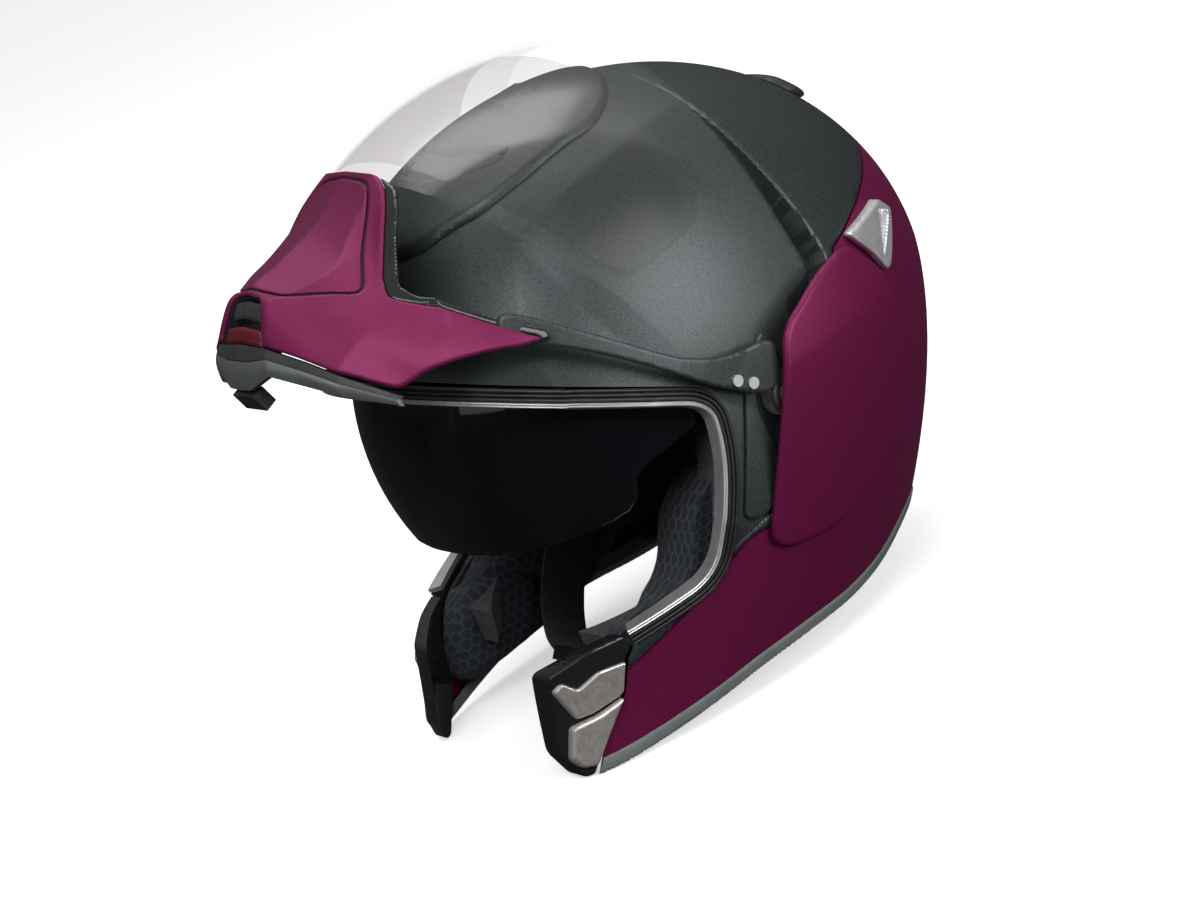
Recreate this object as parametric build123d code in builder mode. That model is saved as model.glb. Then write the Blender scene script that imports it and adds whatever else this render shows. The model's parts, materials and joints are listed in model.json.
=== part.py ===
from build123d import *
import math
import os

os.makedirs("parts", exist_ok=True)

# Modular motorcycle helmet, standing on its cheek tips and the rear lip.
# Millimetres, +Z up, -Y to the front, the wearer's left at +X.

# Outer form of the shell
SHELL_HALF_WIDTH = 128.0
SHELL_HALF_LENGTH = 146.5
CROWN_RISE = 126.5
MIDDLE_Y = 13.5
MIDDLE_Z = 144.0
BOTTOM_HALF_WIDTH = 90.0
BOTTOM_REAR_Y = 98.0
BOTTOM_FRONT_Y = -166.0
SIDE_DRAW = 1.34
REAR_DRAW = 1.7
FRONT_DRAW = 2.8
LEVEL_SHARES = [-0.03, 0.12, 0.28, 0.46, 0.64, 0.82, 1.0]
CROWN_LEANS = [13, 26, 39, 51, 62, 71, 78, 83, 86.5]
WALL = 4.4
FIT_GAP = 0.4
RUN_CLEARANCE = 0.08
WIDE = 150.0
TALL = 320.0
FAR = 200.0
FRAME_SHIFT_Y = 12.38

# Common pivot of visor and chin bar
PIVOT_Y = 10.0
PIVOT_Z = 128.0
OPEN_ANGLE = 66.5
OPEN_SIN = math.sin(math.radians(OPEN_ANGLE))
OPEN_COS = math.cos(math.radians(OPEN_ANGLE))
PIVOT = (0, PIVOT_Y, PIVOT_Z)
PIVOT_AXIS = Axis(PIVOT, (1, 0, 0))

# Sunken zone of the shell under the visor
SUNK_HALF_WIDTH = 114.5
SUNK_RADIUS = 146.0
SUNK_FRONT_RADIUS = 157.0
SUNK_FRONT_Y = -1.7
SUNK_FRONT_Z = 110.6
SUNK_POWER = 2.25
SUNK_REAR_LINE = [(44, 300), (51, 205), (54.5, 171), (46, 160), (36, 98), (10, 84), (-22, 80), (-45, 72)]
SUNK_FRONT_LINE = [(-90, 50), (-190, 10), (-190, 300)]

# Visor
VISOR_Y = -10.6
VISOR_Z = 131.8
VISOR_HALF_WIDTH = 121.0
VISOR_RADIUS = 162.3
VISOR_POWER = 2.25
VISOR_WALL = 2.2
VISOR_FRONT_LINE = [(-104, 304), (-88, 276), (-77, 257), (-61, 227), (-47, 205), (-29, 163), (-27, 156),
                    (-22, 149)]
VISOR_REAR_LINE = [(13, 160), (46, 168.5), (49, 172), (44, 190), (45, 207), (43, 242), (40, 259), (36, 304)]
EAR_RADIUS = 11.0
EAR_NECK_LINE = [(1, 128), (1, 162), (28, 166), (21, 128)]
LENS_RADIUS = 159.4
LENS_HALF_WIDTH = 118.0
LENS_WALL = 1.0
LENS_LINE = [(-77, 276), (-50, 228), (-36, 204), (14, 212), (16, 250), (12, 296), (-76, 296)]

# Envelope swept by the visor inside the chin bar
SWEEP_PROFILE = [(0, 180), (20, 178.2), (45, 171), (72, 153.7), (91, 133.2), (104, 110), (112.6, 88),
                 (117.4, 71), (120.2, 58), (121.6, 46), (122.1, 30)]
SWEEP_HALF_WIDTH = 122.2
SWEEP_RADIUS = 180.0

# Face opening
PORT_LINE = [(-200, 222), (-25, 139), (-27, 122), (-31, 108), (-48, 68.5), (-90, 58.5), (-200, 33)]
PORT_CORNER_RADIUS = 11.0
PORT_INNER_POINTS = 5
BEAD_WIDTH = 2.2
GASKET_WIDTH = 8.0
GASKET_DEPTH = 6.5
GASKET_PROUD = 1.2
PORT_END_Y = -88.0
PORT_END_Z = 110.0
CHEEK_FRONT_LINE = [(-86.5, 50), (-91, 46.5), (-96.5, 32), (-119.5, 0.5), (-122, -8), (-200, -20), (-200, 60)]

# Split between the dark upper and the coloured lower shell
SPLIT_LINE = [(-100, 37), (-87, 43.4), (-72, 51), (-56, 60), (-42, 68), (-27, 76), (-10, 74), (30, 84),
              (46, 104), (54, 150), (57.5, 173.6), (65, 175), (82, 180), (113, 188), (170, 204)]
SPLIT_GAP = 0.6
SPLIT_ABOVE = [(170, 320), (-200, 320), (-200, 40)]
SPLIT_BELOW = [(170, -20), (-200, -20), (-200, 39)]

# Lower edge
RIM_LINE = [(-190, 0), (-113, 0), (-93, 3), (-63, 8), (-36, 13), (-6, 15), (25, 15), (50, 18), (78, 27),
            (190, 27)]
RIM_BELOW = [(190, -30), (-190, -30)]
RIM_TRIM_HEIGHT = 6.5
TRIM_PROUD = 0.8
TRIM_DEPTH = 8.0
NAPE_TOP_HALF = 62.0
NAPE_FOOT_HALF = 20.0
NAPE_FRONT_Y = 55.0
NAPE_RISE_Z = 34.0

# Head space and liner
CAVITY_HALF_WIDTH = 86.0
CAVITY_HALF_LENGTH = 108.0
CAVITY_RISE = 88.0
CAVITY_Y = 10.0
CAVITY_Z = 144.0
CAVITY_SHARES = [-0.04, 0.3, 0.6, 0.85, 1.0]
LINER_LOW_Z = 34.0
LINER_FRONT_Y = -86.0
PAD_THICKNESS = 8.0
CROWN_PAD_LINE = [(-200, 196), (-60, 170), (-20, 150), (60, 148), (100, 130), (200, 130), (200, 330),
                  (-200, 330)]

# Chin bar, dimensions in its closed place
CHIN_PLAN = [(0, -174), (24, -171.5), (34, -162), (62, -141), (84, -124.5), (105, -97), (106, -88), (0, -88)]
CHIN_FACE = [(0, 80), (26, 80), (31, 74), (40, 56), (60, 51), (84, 59), (105, 71), (105, 66), (73, 20),
             (56, 10), (30, 4), (0, 1)]
CHIN_NOSE_SIDE = [(-80, 90), (-168, 81), (-162.5, 45), (-173.5, 22), (-162, 0), (-80, -14)]
CHIN_WALL = 3.6
CHIN_FRAME_DEPTH = 4.0
CHIN_FOAM_DEPTH = 13.0
SURROUND_FACE = [(0, 78), (29, 78), (37, 70), (46, 58), (100, 72), (104, 69), (80, 50), (58, 44), (0, 44)]
SURROUND_SET_BACK = 2.6
LIP_FACE = [(0, 0.4), (30, 3.4), (56, 9.4), (70, 17), (66, 8), (30, -3), (0, -7)]
LIP_SET_BACK = 6.0
CHIN_VENT_HALF = 19.0
CHIN_VENT_LOW_Z = 16.0
CHIN_VENT_HIGH_Z = 40.0
CHIN_VENT_DEPTH_Y = -152.0
CHIN_VENT_REACH = 40.0
CHEEK_ROOM_GAP = 4.0
CHEEK_ROOM_INNER_X = 50.0
CHEEK_ROOM_LINE = [(-82, 62), (-145, 62), (-145, -20), (-82, -20)]
BEZEL_ROOM_INNER_X = 32.0
BEZEL_ROOM_LINE = [(-82, 62), (-131, 62), (-131, -20), (-82, -20)]
FLAP_LOW_Z = 29.0
FLAP_THICKNESS = 2.4
FLAP_FRONT_Y = -160.0
SLIDER_HALF = 15.0
SLIDER_LOW_Z = 18.4
SLIDER_HEIGHT = 6.0
SLIDER_FRONT_Y = -164.0
BUTTON_HALF = 11.0
BUTTON_FRONT_Y = -160.0

# Chin bar arms
ARM_THICKNESS = 2.2
ARM_TOP_LINE = [(9, 137.5), (12, 156), (-10, 156), (-33, 165), (-75, 202), (-92, 217)]
ARM_LOW_LINE = [(-98, 204), (-78, 193), (-58, 178), (-31, 154), (-23, 147), (-5, 135), (2, 134)]
ARM_EYE_RADIUS = 10.0

# Side covers
COVER_THICKNESS = 3.0
COVER_GAP = 1.2
COVER_LINE = [(13, 157), (-20, 71), (-16, 65), (-10, 62), (8, 59), (28, 60), (50, 68), (68, 81), (80, 96),
              (88, 112), (90, 130), (86, 146), (77, 159), (66, 174), (42, 170)]
HUB_RADIUS = 5.6
HUB_FLANGE_RADIUS = 10.0
HUB_FLANGE_THICKNESS = 2.6

# Sun visor
SUN_Y = 0.0
SUN_Z = 140.0
SUN_HALF_WIDTH = 104.0
SUN_RADIUS = 119.0
SUN_POWER = 2.3
SUN_WALL = 1.8
SUN_LINE = [(-130, 106), (-110, 100), (-88, 102), (-70, 104), (-61, 109), (-60, 122), (-30, 130),
            (-4, 133), (-4, 147), (-40, 158), (-56, 163), (-86, 204), (-130, 220)]
SLOT_SIDE = 1.8
SLOT_LINE = [(14, 126), (14, 152), (4, 262), (-40, 300), (-200, 300), (-200, 118), (-30, 118)]

# Comfort pads
PAD_INNER_X = 56.0
PAD_CROWN_RADIUS = 7.0
CHEEK_PAD_LINE = [(-84, 56), (-66, 60), (-50, 68), (-40, 90), (-24, 102), (-6, 104), (6, 96), (10, 70),
                  (4, 40), (-16, 28), (-44, 22), (-72, 18), (-98, 15), (-105, 24), (-102, 40), (-94, 51)]
PAD_CHANNEL_LINE = [(-63, 58), (-46, 52), (-31, 32), (-29, 27), (-32, 26), (-35, 30), (-49, 48.5), (-64, 54)]
PAD_CHANNEL_DEPTH = 4.0
EAR_PAD_LINE = [(16, 60), (14, 96), (4, 110), (-8, 112), (-6, 138), (60, 144), (92, 130), (92, 60),
                (60, 46), (24, 46)]
EAR_PAD_INNER_X = 71.0
EAR_PAD_RADIUS = 4.0
NECK_ROLL_FRONT_Y = 20.0
NECK_ROLL_LOW_Z = 22.0
NECK_ROLL_INNER_HALF = 66.0
NECK_ROLL_INNER_LENGTH = 82.0

# Chin strap and buckle
STRAP_LEAN_BACK = 37.8
STRAP_CENTRE_Y = -62.0
STRAP_CENTRE_Z = 15.0
STRAP_WIDTH = 24.0
STRAP_THICKNESS = 1.8
STRAP_PATH = [(22, 2.2), (31, 7), (40, 18), (47, 36), (50, 58), (60, 78), (80, 88)]
STRAP_TANGENTS = [(1, 0), (1, 0.3)]
STRAP_CLEARANCE = 1.6
STRAP_ROOM_LINE = [(50, 58), (58, 70), (66, 79), (84, 86), (84, 93), (62, 85.5), (50, 72)]
BUCKLE_LENGTH = 34.0
BUCKLE_WIDTH = 29.0
BUCKLE_HEIGHT = 7.0
BUCKLE_FLOOR = 1.6
BUCKLE_SIDE = 1.6
LEVER_LENGTH = 22.0
LEVER_THICKNESS = 2.2
TONGUE_LENGTH = 30.0
TONGUE_THICKNESS = 2.0
ANCHOR_RADIUS = 7.0
ANCHOR_THICKNESS = 2.2

# Cheek ends
BEZEL_LINE = [(-88.5, 49.6), (-88.7, 57), (-104, 55), (-120, 49), (-128.5, 14), (-125, 2), (-120, 0),
              (-97, 32), (-91.6, 47)]
BEZEL_DEPTH = 15.0
BEZEL_ROOM_TOP_Z = 60.0
PLATE_LINE = [(-93, 45.5), (-98, 32), (-111, 28), (-118, 27.5), (-121, 42), (-117, 45), (-113, 40),
              (-104, 45)]
STRIKER_LINE = [(-98.5, 30.5), (-110.5, 26.5), (-121, 25), (-126.5, 11), (-124, 6), (-118, 5)]
PLATE_PROUD = 1.6
STRIKER_PROUD = 3.0
LATCH_DEPTH = 5.0

# Trims on the shell
STRIP_LINE = [(12, 157.5), (-3, 144), (-9, 131), (-29, 85), (-20, 81.5), (-9, 86), (-2, 106), (-4, 128),
              (0, 138), (14, 151)]
STRIP_THICKNESS = 2.1
CORNER_LINE = [(69, 176), (101, 178.5), (108, 171), (88, 153), (84, 151.5), (79, 162)]
CORNER_PROUD = 5.4
CORNER_RECESS_LINE = [(96, 176), (104, 171.5), (84, 158)]
CORNER_RECESS_DEPTH = 2.2

# Top vent
VENT_HALF_LINE = [(0, -92), (26, -84), (48, -58), (55, -35), (57, 6), (45, 24), (26, 37), (0, 44)]
VENT_PROUD = 3.4
VENT_MOUTH_LINE = [(0, -56), (24, -50), (38, -37), (38, -30), (0, -40)]
VENT_SLIDER_HALF = 10.0
VENT_SLIDER_REAR_Y = 12.0
VENT_SLIDER_FRONT_Y = -8.0
VENT_TRACK_HALF = 10.4
VENT_TRACK_FRONT_Y = -16.6
VENT_TRACK_DEPTH = 1.4
VENT_TRAVEL = 8.0
REAR_VENT_LINE = [(-34, 0), (-28, 9), (28, 9), (34, 0), (26, -8), (-26, -8)]
REAR_VENT_Z = 222.0
REAR_VENT_PROUD = 4.0

# Sun visor lever on the lower right edge, drawn for the left
LEVER_LINE = [(26, 30), (64, 32), (62, 41), (24, 39)]
LEVER_TRACK_DEPTH = 2.6
LEVER_BUTTON_Y = 32.0
LEVER_BUTTON_HALF = 5.0

# Screws of the arms and reach of the chin bar outlines
SCREW_RADIUS = 2.6
SCREW_HEAD = 1.2
SCREW_PLACES = [(-7, 141.5), (-14, 146)]
CHIN_REACH = 260.0

# Small sizes of the vents, covers and hubs
CHIN_VENT_SILL = 4.0
CHIN_VENT_RIM = 1.6
SLIDER_GAP = 0.3
SLIDER_CORNER = 1.2
SCREW_SEAT = 1.0
COVER_EDGE = 1.0
HUB_SHORT = 2.6
HUB_BORE_RADIUS = 2.4
HUB_BORE_DEPTH = 3.0
VENT_SLIDER_LIFT = 0.2
VENT_SLIDER_TAPER = 2.4
VENT_SLIDER_HEIGHT = 3.2
VENT_SLIDER_DRAFT = 12.0
REAR_VENT_SLOT_LENGTH = 44.0
REAR_VENT_SLOT_HEIGHT = 5.0

# Small sizes of the strap, buckle, visor lever and release button
ANCHOR_PIN_RADIUS = 3.2
ANCHOR_END_X = 108.0
BUCKLE_X = -3.0
BUCKLE_V = 1.6
TONGUE_X = -12.0
TONGUE_V = 2.6
TONGUE_WIDTH = 22.0
TOOTH_PITCH = 3.0
TOOTH_COUNT = 6
TOOTH_SIZE = 1.0
LEVER_PIVOT_U = -17.0
LEVER_V = -2.4
LEVER_WIDTH = 24.0
LEVER_LIP = 2.0
LEVER_SLOT_LINE = [(25.6, 32.8), (60.5, 33.2), (60, 38.8), (25.2, 37.0)]
LEVER_BUTTON_Z = 35.2
LEVER_BUTTON_HEIGHT = 2.6
LEVER_BUTTON_X = 97.2
LEVER_TURN = 18.8
LEVER_BUTTON_REACH = 4.6
LEVER_BUTTON_EDGE = 0.5
BUTTON_REAR_Y = -150.0
BUTTON_LOW_Z = -9.5
BUTTON_HIGH_Z = -0.5
BUTTON_TRAVEL = 3.0


def superellipse(half_width, radius, power, count=9):
    """Points of a quarter of a rounded profile, from the rim radius to the pole."""
    points = []
    for step in range(count):
        turn = math.pi / 2 * step / (count - 1)
        along = half_width * math.sin(turn) ** (2 / power)
        across = radius * math.cos(turn) ** (2 / power) if step < count - 1 else 0
        points.append((along, across))
    return points


def turned(profile, y, z):
    """Solid of revolution about the cross axis through y, z."""
    right = [(along, y - across) for along, across in profile]
    left = [(-along, y - across) for along, across in reversed(profile[1:])]
    with BuildPart() as body:
        with BuildSketch(Plane.XY.offset(z)):
            with BuildLine():
                Spline(*(left + right), tangents=[(0, -1), (0, 1)])
                Line(right[-1], left[0])
            make_face()
        revolve(axis=Axis((0, y, z), (1, 0, 0)))
    return body.part


def bowl(half_width, radius, power, y, z):
    return turned(superellipse(half_width, radius, power), y, z)


def sweep_form(grow=0.0):
    wide = 1 + grow / SWEEP_HALF_WIDTH
    deep = 1 + grow / SWEEP_RADIUS
    profile = [(along * wide, across * deep) for along, across in SWEEP_PROFILE]
    return turned(profile + [(SWEEP_HALF_WIDTH * wide, 0)], PIVOT_Y, PIVOT_Z)


def lower_section(share, grow):
    """Half width, centre and half length of the lower body at a share of its height."""
    drop = 1 - share
    half = SHELL_HALF_WIDTH + grow - (SHELL_HALF_WIDTH - BOTTOM_HALF_WIDTH) * drop ** SIDE_DRAW
    front = MIDDLE_Y - SHELL_HALF_LENGTH
    rear = MIDDLE_Y + SHELL_HALF_LENGTH
    front = front - grow + (BOTTOM_FRONT_Y - front) * drop ** FRONT_DRAW
    rear = rear + grow - (rear - BOTTOM_REAR_Y) * drop ** REAR_DRAW
    return MIDDLE_Z * share, half, (front + rear) / 2, (rear - front) / 2


def crown_section(lean, grow):
    """Height, half width, centre and half length of the crown at a lean in degrees."""
    turn = math.radians(lean)
    height = MIDDLE_Z + (CROWN_RISE + grow) * math.sin(turn)
    narrow = math.cos(turn)
    return height, (SHELL_HALF_WIDTH + grow) * narrow, MIDDLE_Y, (SHELL_HALF_LENGTH + grow) * narrow


def oval_loft(sections):
    """Solid through flat ovals given by height, half width, centre and half length."""
    with BuildPart() as form:
        for height, half_width, centre, half_length in sections:
            with BuildSketch(Plane.XY.offset(height)):
                with Locations((0, centre)):
                    Ellipse(half_width, half_length)
        loft()
    return form.part


def shell_form(grow=0.0):
    """Plain outer form of the helmet, moved out by grow."""
    lower = [lower_section(share, grow) for share in LEVEL_SHARES]
    return oval_loft(lower + [crown_section(lean, grow) for lean in CROWN_LEANS])


def cavity_form(grow=0.0):
    """Head space, moved out by grow."""
    half = CAVITY_HALF_WIDTH + grow
    length = CAVITY_HALF_LENGTH + grow
    sections = [(CAVITY_Z * share, half, CAVITY_Y, length) for share in CAVITY_SHARES]
    for lean in CROWN_LEANS:
        turn = math.radians(lean)
        rise = CAVITY_Z + (CAVITY_RISE + grow) * math.sin(turn)
        sections.append((rise, half * math.cos(turn), CAVITY_Y, length * math.cos(turn)))
    return oval_loft(sections)


def side_block(points, inner=-WIDE, outer=WIDE):
    """Side view outline drawn out across the helmet."""
    with BuildPart() as block:
        with BuildSketch(Plane.YZ.offset(inner)):
            with BuildLine():
                Polyline(*points, close=True)
            make_face()
        extrude(amount=outer - inner)
    return block.part


def band_block(front_y, rear_y, low_z, high_z):
    """Box across the helmet given by its side view."""
    return side_block([(front_y, low_z), (rear_y, low_z), (rear_y, high_z), (front_y, high_z)])


def port_block(grow):
    """Face opening drawn out across the helmet, its outline moved out by grow."""
    with BuildPart() as block:
        with BuildSketch(Plane.YZ.offset(-WIDE)) as outline:
            with BuildLine():
                Polyline(*PORT_LINE, close=True)
            make_face()
            corners = outline.vertices().sort_by(Axis.Y)[-PORT_INNER_POINTS:]
            fillet([corners[-1], corners[0]], PORT_CORNER_RADIUS)
            if grow > 0:
                offset(amount=grow, kind=Kind.INTERSECTION)
        extrude(amount=2 * WIDE)
    return block.part


def sunk_cut(inset):
    """What is taken off the plain form so that visor and arms can lie in the shell."""
    with BuildPart() as cut:
        add(side_block(SUNK_REAR_LINE + SUNK_FRONT_LINE))
        add(bowl(SUNK_HALF_WIDTH - inset, SUNK_RADIUS - inset, SUNK_POWER, PIVOT_Y, PIVOT_Z),
            mode=Mode.SUBTRACT)
        add(bowl(SUNK_HALF_WIDTH - inset, SUNK_FRONT_RADIUS - inset, SUNK_POWER, SUNK_FRONT_Y, SUNK_FRONT_Z),
            mode=Mode.SUBTRACT)
    return cut.part


def body_form(inset):
    """Helmet form with the sunken zone, moved in by inset."""
    with BuildPart() as body:
        add(shell_form(-inset))
        add(sunk_cut(inset), mode=Mode.SUBTRACT)
    return body.part


def under_rim(lift):
    """Everything below the lower edge line raised by lift, leaving the rear lip."""
    line = [(y, z + lift) for y, z in RIM_LINE]
    with BuildPart() as lip:
        with BuildSketch(Plane.XZ.offset(-NAPE_FRONT_Y)):
            with BuildLine():
                Polyline((-NAPE_TOP_HALF, NAPE_RISE_Z), (NAPE_TOP_HALF, NAPE_RISE_Z), (NAPE_FOOT_HALF, lift),
                         (-NAPE_FOOT_HALF, lift), close=True)
            make_face()
        extrude(amount=-WIDE)
    with BuildPart() as under:
        add(side_block(line + RIM_BELOW))
        add(lip.part, mode=Mode.SUBTRACT)
    return under.part


CLOSED_UP = (0, OPEN_SIN, OPEN_COS)
CLOSED_BACK = (0, OPEN_COS, -OPEN_SIN)
CLOSED_FRONT = (0, -OPEN_COS, OPEN_SIN)
chin_plan_plane = Plane(origin=PIVOT, x_dir=(1, 0, 0), z_dir=CLOSED_UP)
chin_face_plane = Plane(origin=PIVOT, x_dir=(1, 0, 0), z_dir=CLOSED_FRONT)
chin_side_plane = Plane(origin=PIVOT, x_dir=CLOSED_BACK, z_dir=(1, 0, 0))


def drawn_block(plane, points, inset=0.0):
    with BuildPart() as block:
        with BuildSketch(plane):
            with BuildLine():
                Polyline(*points, close=True)
            make_face()
            if inset > 0:
                offset(amount=-inset, kind=Kind.INTERSECTION)
        extrude(amount=CHIN_REACH, both=True)
    return block.part


def both_sides(points):
    return points + [(-x, other) for x, other in reversed(points) if x > 0]


def chin_plan_block(inset=0.0):
    points = [(x, y - PIVOT_Y) for x, y in CHIN_PLAN]
    return drawn_block(chin_plan_plane, both_sides(points), inset)


def chin_face_block(line, inset=0.0):
    points = [(x, z - PIVOT_Z) for x, z in line]
    return drawn_block(chin_face_plane, both_sides(points), inset)


def chin_side_block(inset=0.0):
    points = [(y - PIVOT_Y, z - PIVOT_Z) for y, z in CHIN_NOSE_SIDE]
    return drawn_block(chin_side_plane, points, inset)


def closed_box(half_x, front_y, rear_y, low_z, high_z):
    """Block given in the closed place of the chin bar."""
    with BuildPart() as box:
        with BuildSketch(chin_side_plane.offset(-half_x)):
            with BuildLine():
                Polyline((front_y - PIVOT_Y, low_z - PIVOT_Z), (rear_y - PIVOT_Y, low_z - PIVOT_Z),
                         (rear_y - PIVOT_Y, high_z - PIVOT_Z), (front_y - PIVOT_Y, high_z - PIVOT_Z),
                         close=True)
            make_face()
        extrude(amount=2 * half_x)
    return box.part


def mirrored_part(part):
    with BuildPart() as other:
        mirror(part, about=Plane.YZ)
    return other.part


def layer(outer, inner, line, inner_x=0.0):
    """Piece of the space between two forms inside a side view outline, left side."""
    with BuildPart() as piece:
        add(outer)
        add(inner, mode=Mode.SUBTRACT)
        add(side_block(line, inner_x), mode=Mode.INTERSECT)
    return piece.part


def cross_pin(y, z, radius, inner, outer):
    with BuildPart() as pin:
        with BuildSketch(Plane.YZ.offset(inner)):
            with Locations((y, z)):
                Circle(radius)
        extrude(amount=outer - inner)
    return pin.part


def save(part, name):
    placed = Pos(0, FRAME_SHIFT_Y, 0) * part
    placed.label = name
    export_step(placed, f"parts/{name}.step")


def save_pair(part, name):
    """Left piece and its mirror image."""
    save(part, f"left_{name}")
    save(mirrored_part(part), f"right_{name}")


with BuildPart() as shell_wall:
    add(body_form(0))
    add(body_form(WALL), mode=Mode.SUBTRACT)
liner_body = body_form(WALL + FIT_GAP)
gasket_base = body_form(GASKET_DEPTH)
gasket_top = body_form(-GASKET_PROUD)
plain_outer = shell_form()
cover_bottom = shell_form(FIT_GAP)
rim_cut = under_rim(RIM_TRIM_HEIGHT)
port_shell = port_block(GASKET_WIDTH + FIT_GAP / 2)
cheek_front = side_block(CHEEK_FRONT_LINE)
port_end = band_block(-FAR, PORT_END_Y, -FAR, PORT_END_Z)
split_top = SPLIT_LINE + SPLIT_ABOVE
split_low = [(y, z - SPLIT_GAP) for y, z in SPLIT_LINE] + SPLIT_BELOW

# Upper shell: dome, brow and the side frame behind the face opening
with BuildPart() as upper_body:
    add(shell_wall.part)
    add(side_block(split_top), mode=Mode.INTERSECT)
    add(port_shell, mode=Mode.SUBTRACT)
    add(cheek_front, mode=Mode.SUBTRACT)
with BuildPart() as upper_shell:
    add(upper_body.solids().sort_by(SortBy.VOLUME)[-1])
save(upper_shell.part, "upper_shell")

# Lower shell: rear, sides and cheeks
with BuildPart() as lower_shell:
    add(shell_wall.part)
    add(side_block(split_low), mode=Mode.INTERSECT)
    add(port_shell, mode=Mode.SUBTRACT)
    add(rim_cut, mode=Mode.SUBTRACT)
    add(cheek_front, mode=Mode.SUBTRACT)
save(lower_shell.part, "lower_shell")

# Edge trim round the lower edge
trim_outer = shell_form(TRIM_PROUD)
trim_inner = shell_form(-TRIM_DEPTH)
with BuildPart() as rim_trim:
    add(trim_outer)
    add(trim_inner, mode=Mode.SUBTRACT)
    add(under_rim(RIM_TRIM_HEIGHT - FIT_GAP), mode=Mode.INTERSECT)
    add(under_rim(0), mode=Mode.SUBTRACT)
    add(cheek_front, mode=Mode.SUBTRACT)
save(rim_trim.part, "rim_trim")

# Face opening: ribbed gasket and bright bead
with BuildPart() as port_gasket:
    add(gasket_top)
    add(gasket_base, mode=Mode.SUBTRACT)
    add(port_block(GASKET_WIDTH), mode=Mode.INTERSECT)
    add(port_block(BEAD_WIDTH), mode=Mode.SUBTRACT)
    add(port_end, mode=Mode.SUBTRACT)
save(port_gasket.part, "port_gasket")

with BuildPart() as port_bead:
    add(gasket_top)
    add(gasket_base, mode=Mode.SUBTRACT)
    add(port_block(BEAD_WIDTH - FIT_GAP / 2), mode=Mode.INTERSECT)
    add(port_block(0), mode=Mode.SUBTRACT)
    add(port_end, mode=Mode.SUBTRACT)
save(port_bead.part, "port_bead")

# Impact liner with head space and sun visor slot
cavity = cavity_form()
sun_slot_outer = bowl(SUN_HALF_WIDTH + SLOT_SIDE, SUN_RADIUS + SLOT_SIDE, SUN_POWER, SUN_Y, SUN_Z)
sun_slot_inner = bowl(SUN_HALF_WIDTH - SUN_WALL - SLOT_SIDE, SUN_RADIUS - SUN_WALL - SLOT_SIDE, SUN_POWER,
                      SUN_Y, SUN_Z)
with BuildPart() as sun_slot:
    add(sun_slot_outer)
    add(sun_slot_inner, mode=Mode.SUBTRACT)
    add(side_block(SLOT_LINE), mode=Mode.INTERSECT)
with BuildPart() as impact_liner:
    add(liner_body)
    add(cavity, mode=Mode.SUBTRACT)
    add(port_block(GASKET_WIDTH + FIT_GAP), mode=Mode.SUBTRACT)
    add(band_block(-FAR, FAR, -FAR, LINER_LOW_Z), mode=Mode.SUBTRACT)
    add(sun_slot.part, mode=Mode.SUBTRACT)
    add(band_block(-FAR, LINER_FRONT_Y, -FAR, BEZEL_ROOM_TOP_Z), mode=Mode.SUBTRACT)

# Sun visor
with BuildPart() as sun_visor:
    add(bowl(SUN_HALF_WIDTH, SUN_RADIUS, SUN_POWER, SUN_Y, SUN_Z))
    add(bowl(SUN_HALF_WIDTH - SUN_WALL, SUN_RADIUS - SUN_WALL, SUN_POWER, SUN_Y, SUN_Z), mode=Mode.SUBTRACT)
    add(side_block(SUN_LINE), mode=Mode.INTERSECT)
save(sun_visor.part, "sun_visor")

# Clear visor with ears round the common pivot
with BuildPart() as clear_visor:
    add(bowl(VISOR_HALF_WIDTH, VISOR_RADIUS, VISOR_POWER, VISOR_Y, VISOR_Z))
    add(bowl(VISOR_HALF_WIDTH - VISOR_WALL, VISOR_RADIUS - VISOR_WALL, VISOR_POWER, VISOR_Y, VISOR_Z),
        mode=Mode.SUBTRACT)
    with BuildSketch(Plane.YZ.offset(-WIDE), mode=Mode.PRIVATE) as visor_side:
        with BuildLine():
            Polyline(*(VISOR_FRONT_LINE + VISOR_REAR_LINE), close=True)
        make_face()
        with BuildLine():
            Polyline(*EAR_NECK_LINE, close=True)
        make_face()
        with Locations((PIVOT_Y, PIVOT_Z)):
            Circle(EAR_RADIUS)
    extrude(visor_side.sketch, amount=2 * WIDE, mode=Mode.INTERSECT)
    with BuildSketch(Plane.YZ.offset(-WIDE)):
        with Locations((PIVOT_Y, PIVOT_Z)):
            Circle(HUB_RADIUS + RUN_CLEARANCE)
    extrude(amount=2 * WIDE, mode=Mode.SUBTRACT)
save(clear_visor.part, "clear_visor")

# Anti-fog lens inside the visor
with BuildPart() as fog_lens:
    add(bowl(LENS_HALF_WIDTH, LENS_RADIUS, VISOR_POWER, VISOR_Y, VISOR_Z))
    add(bowl(LENS_HALF_WIDTH - LENS_WALL, LENS_RADIUS - LENS_WALL, VISOR_POWER, VISOR_Y, VISOR_Z),
        mode=Mode.SUBTRACT)
    add(side_block(LENS_LINE), mode=Mode.INTERSECT)
save(fog_lens.part, "fog_lens")

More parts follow.
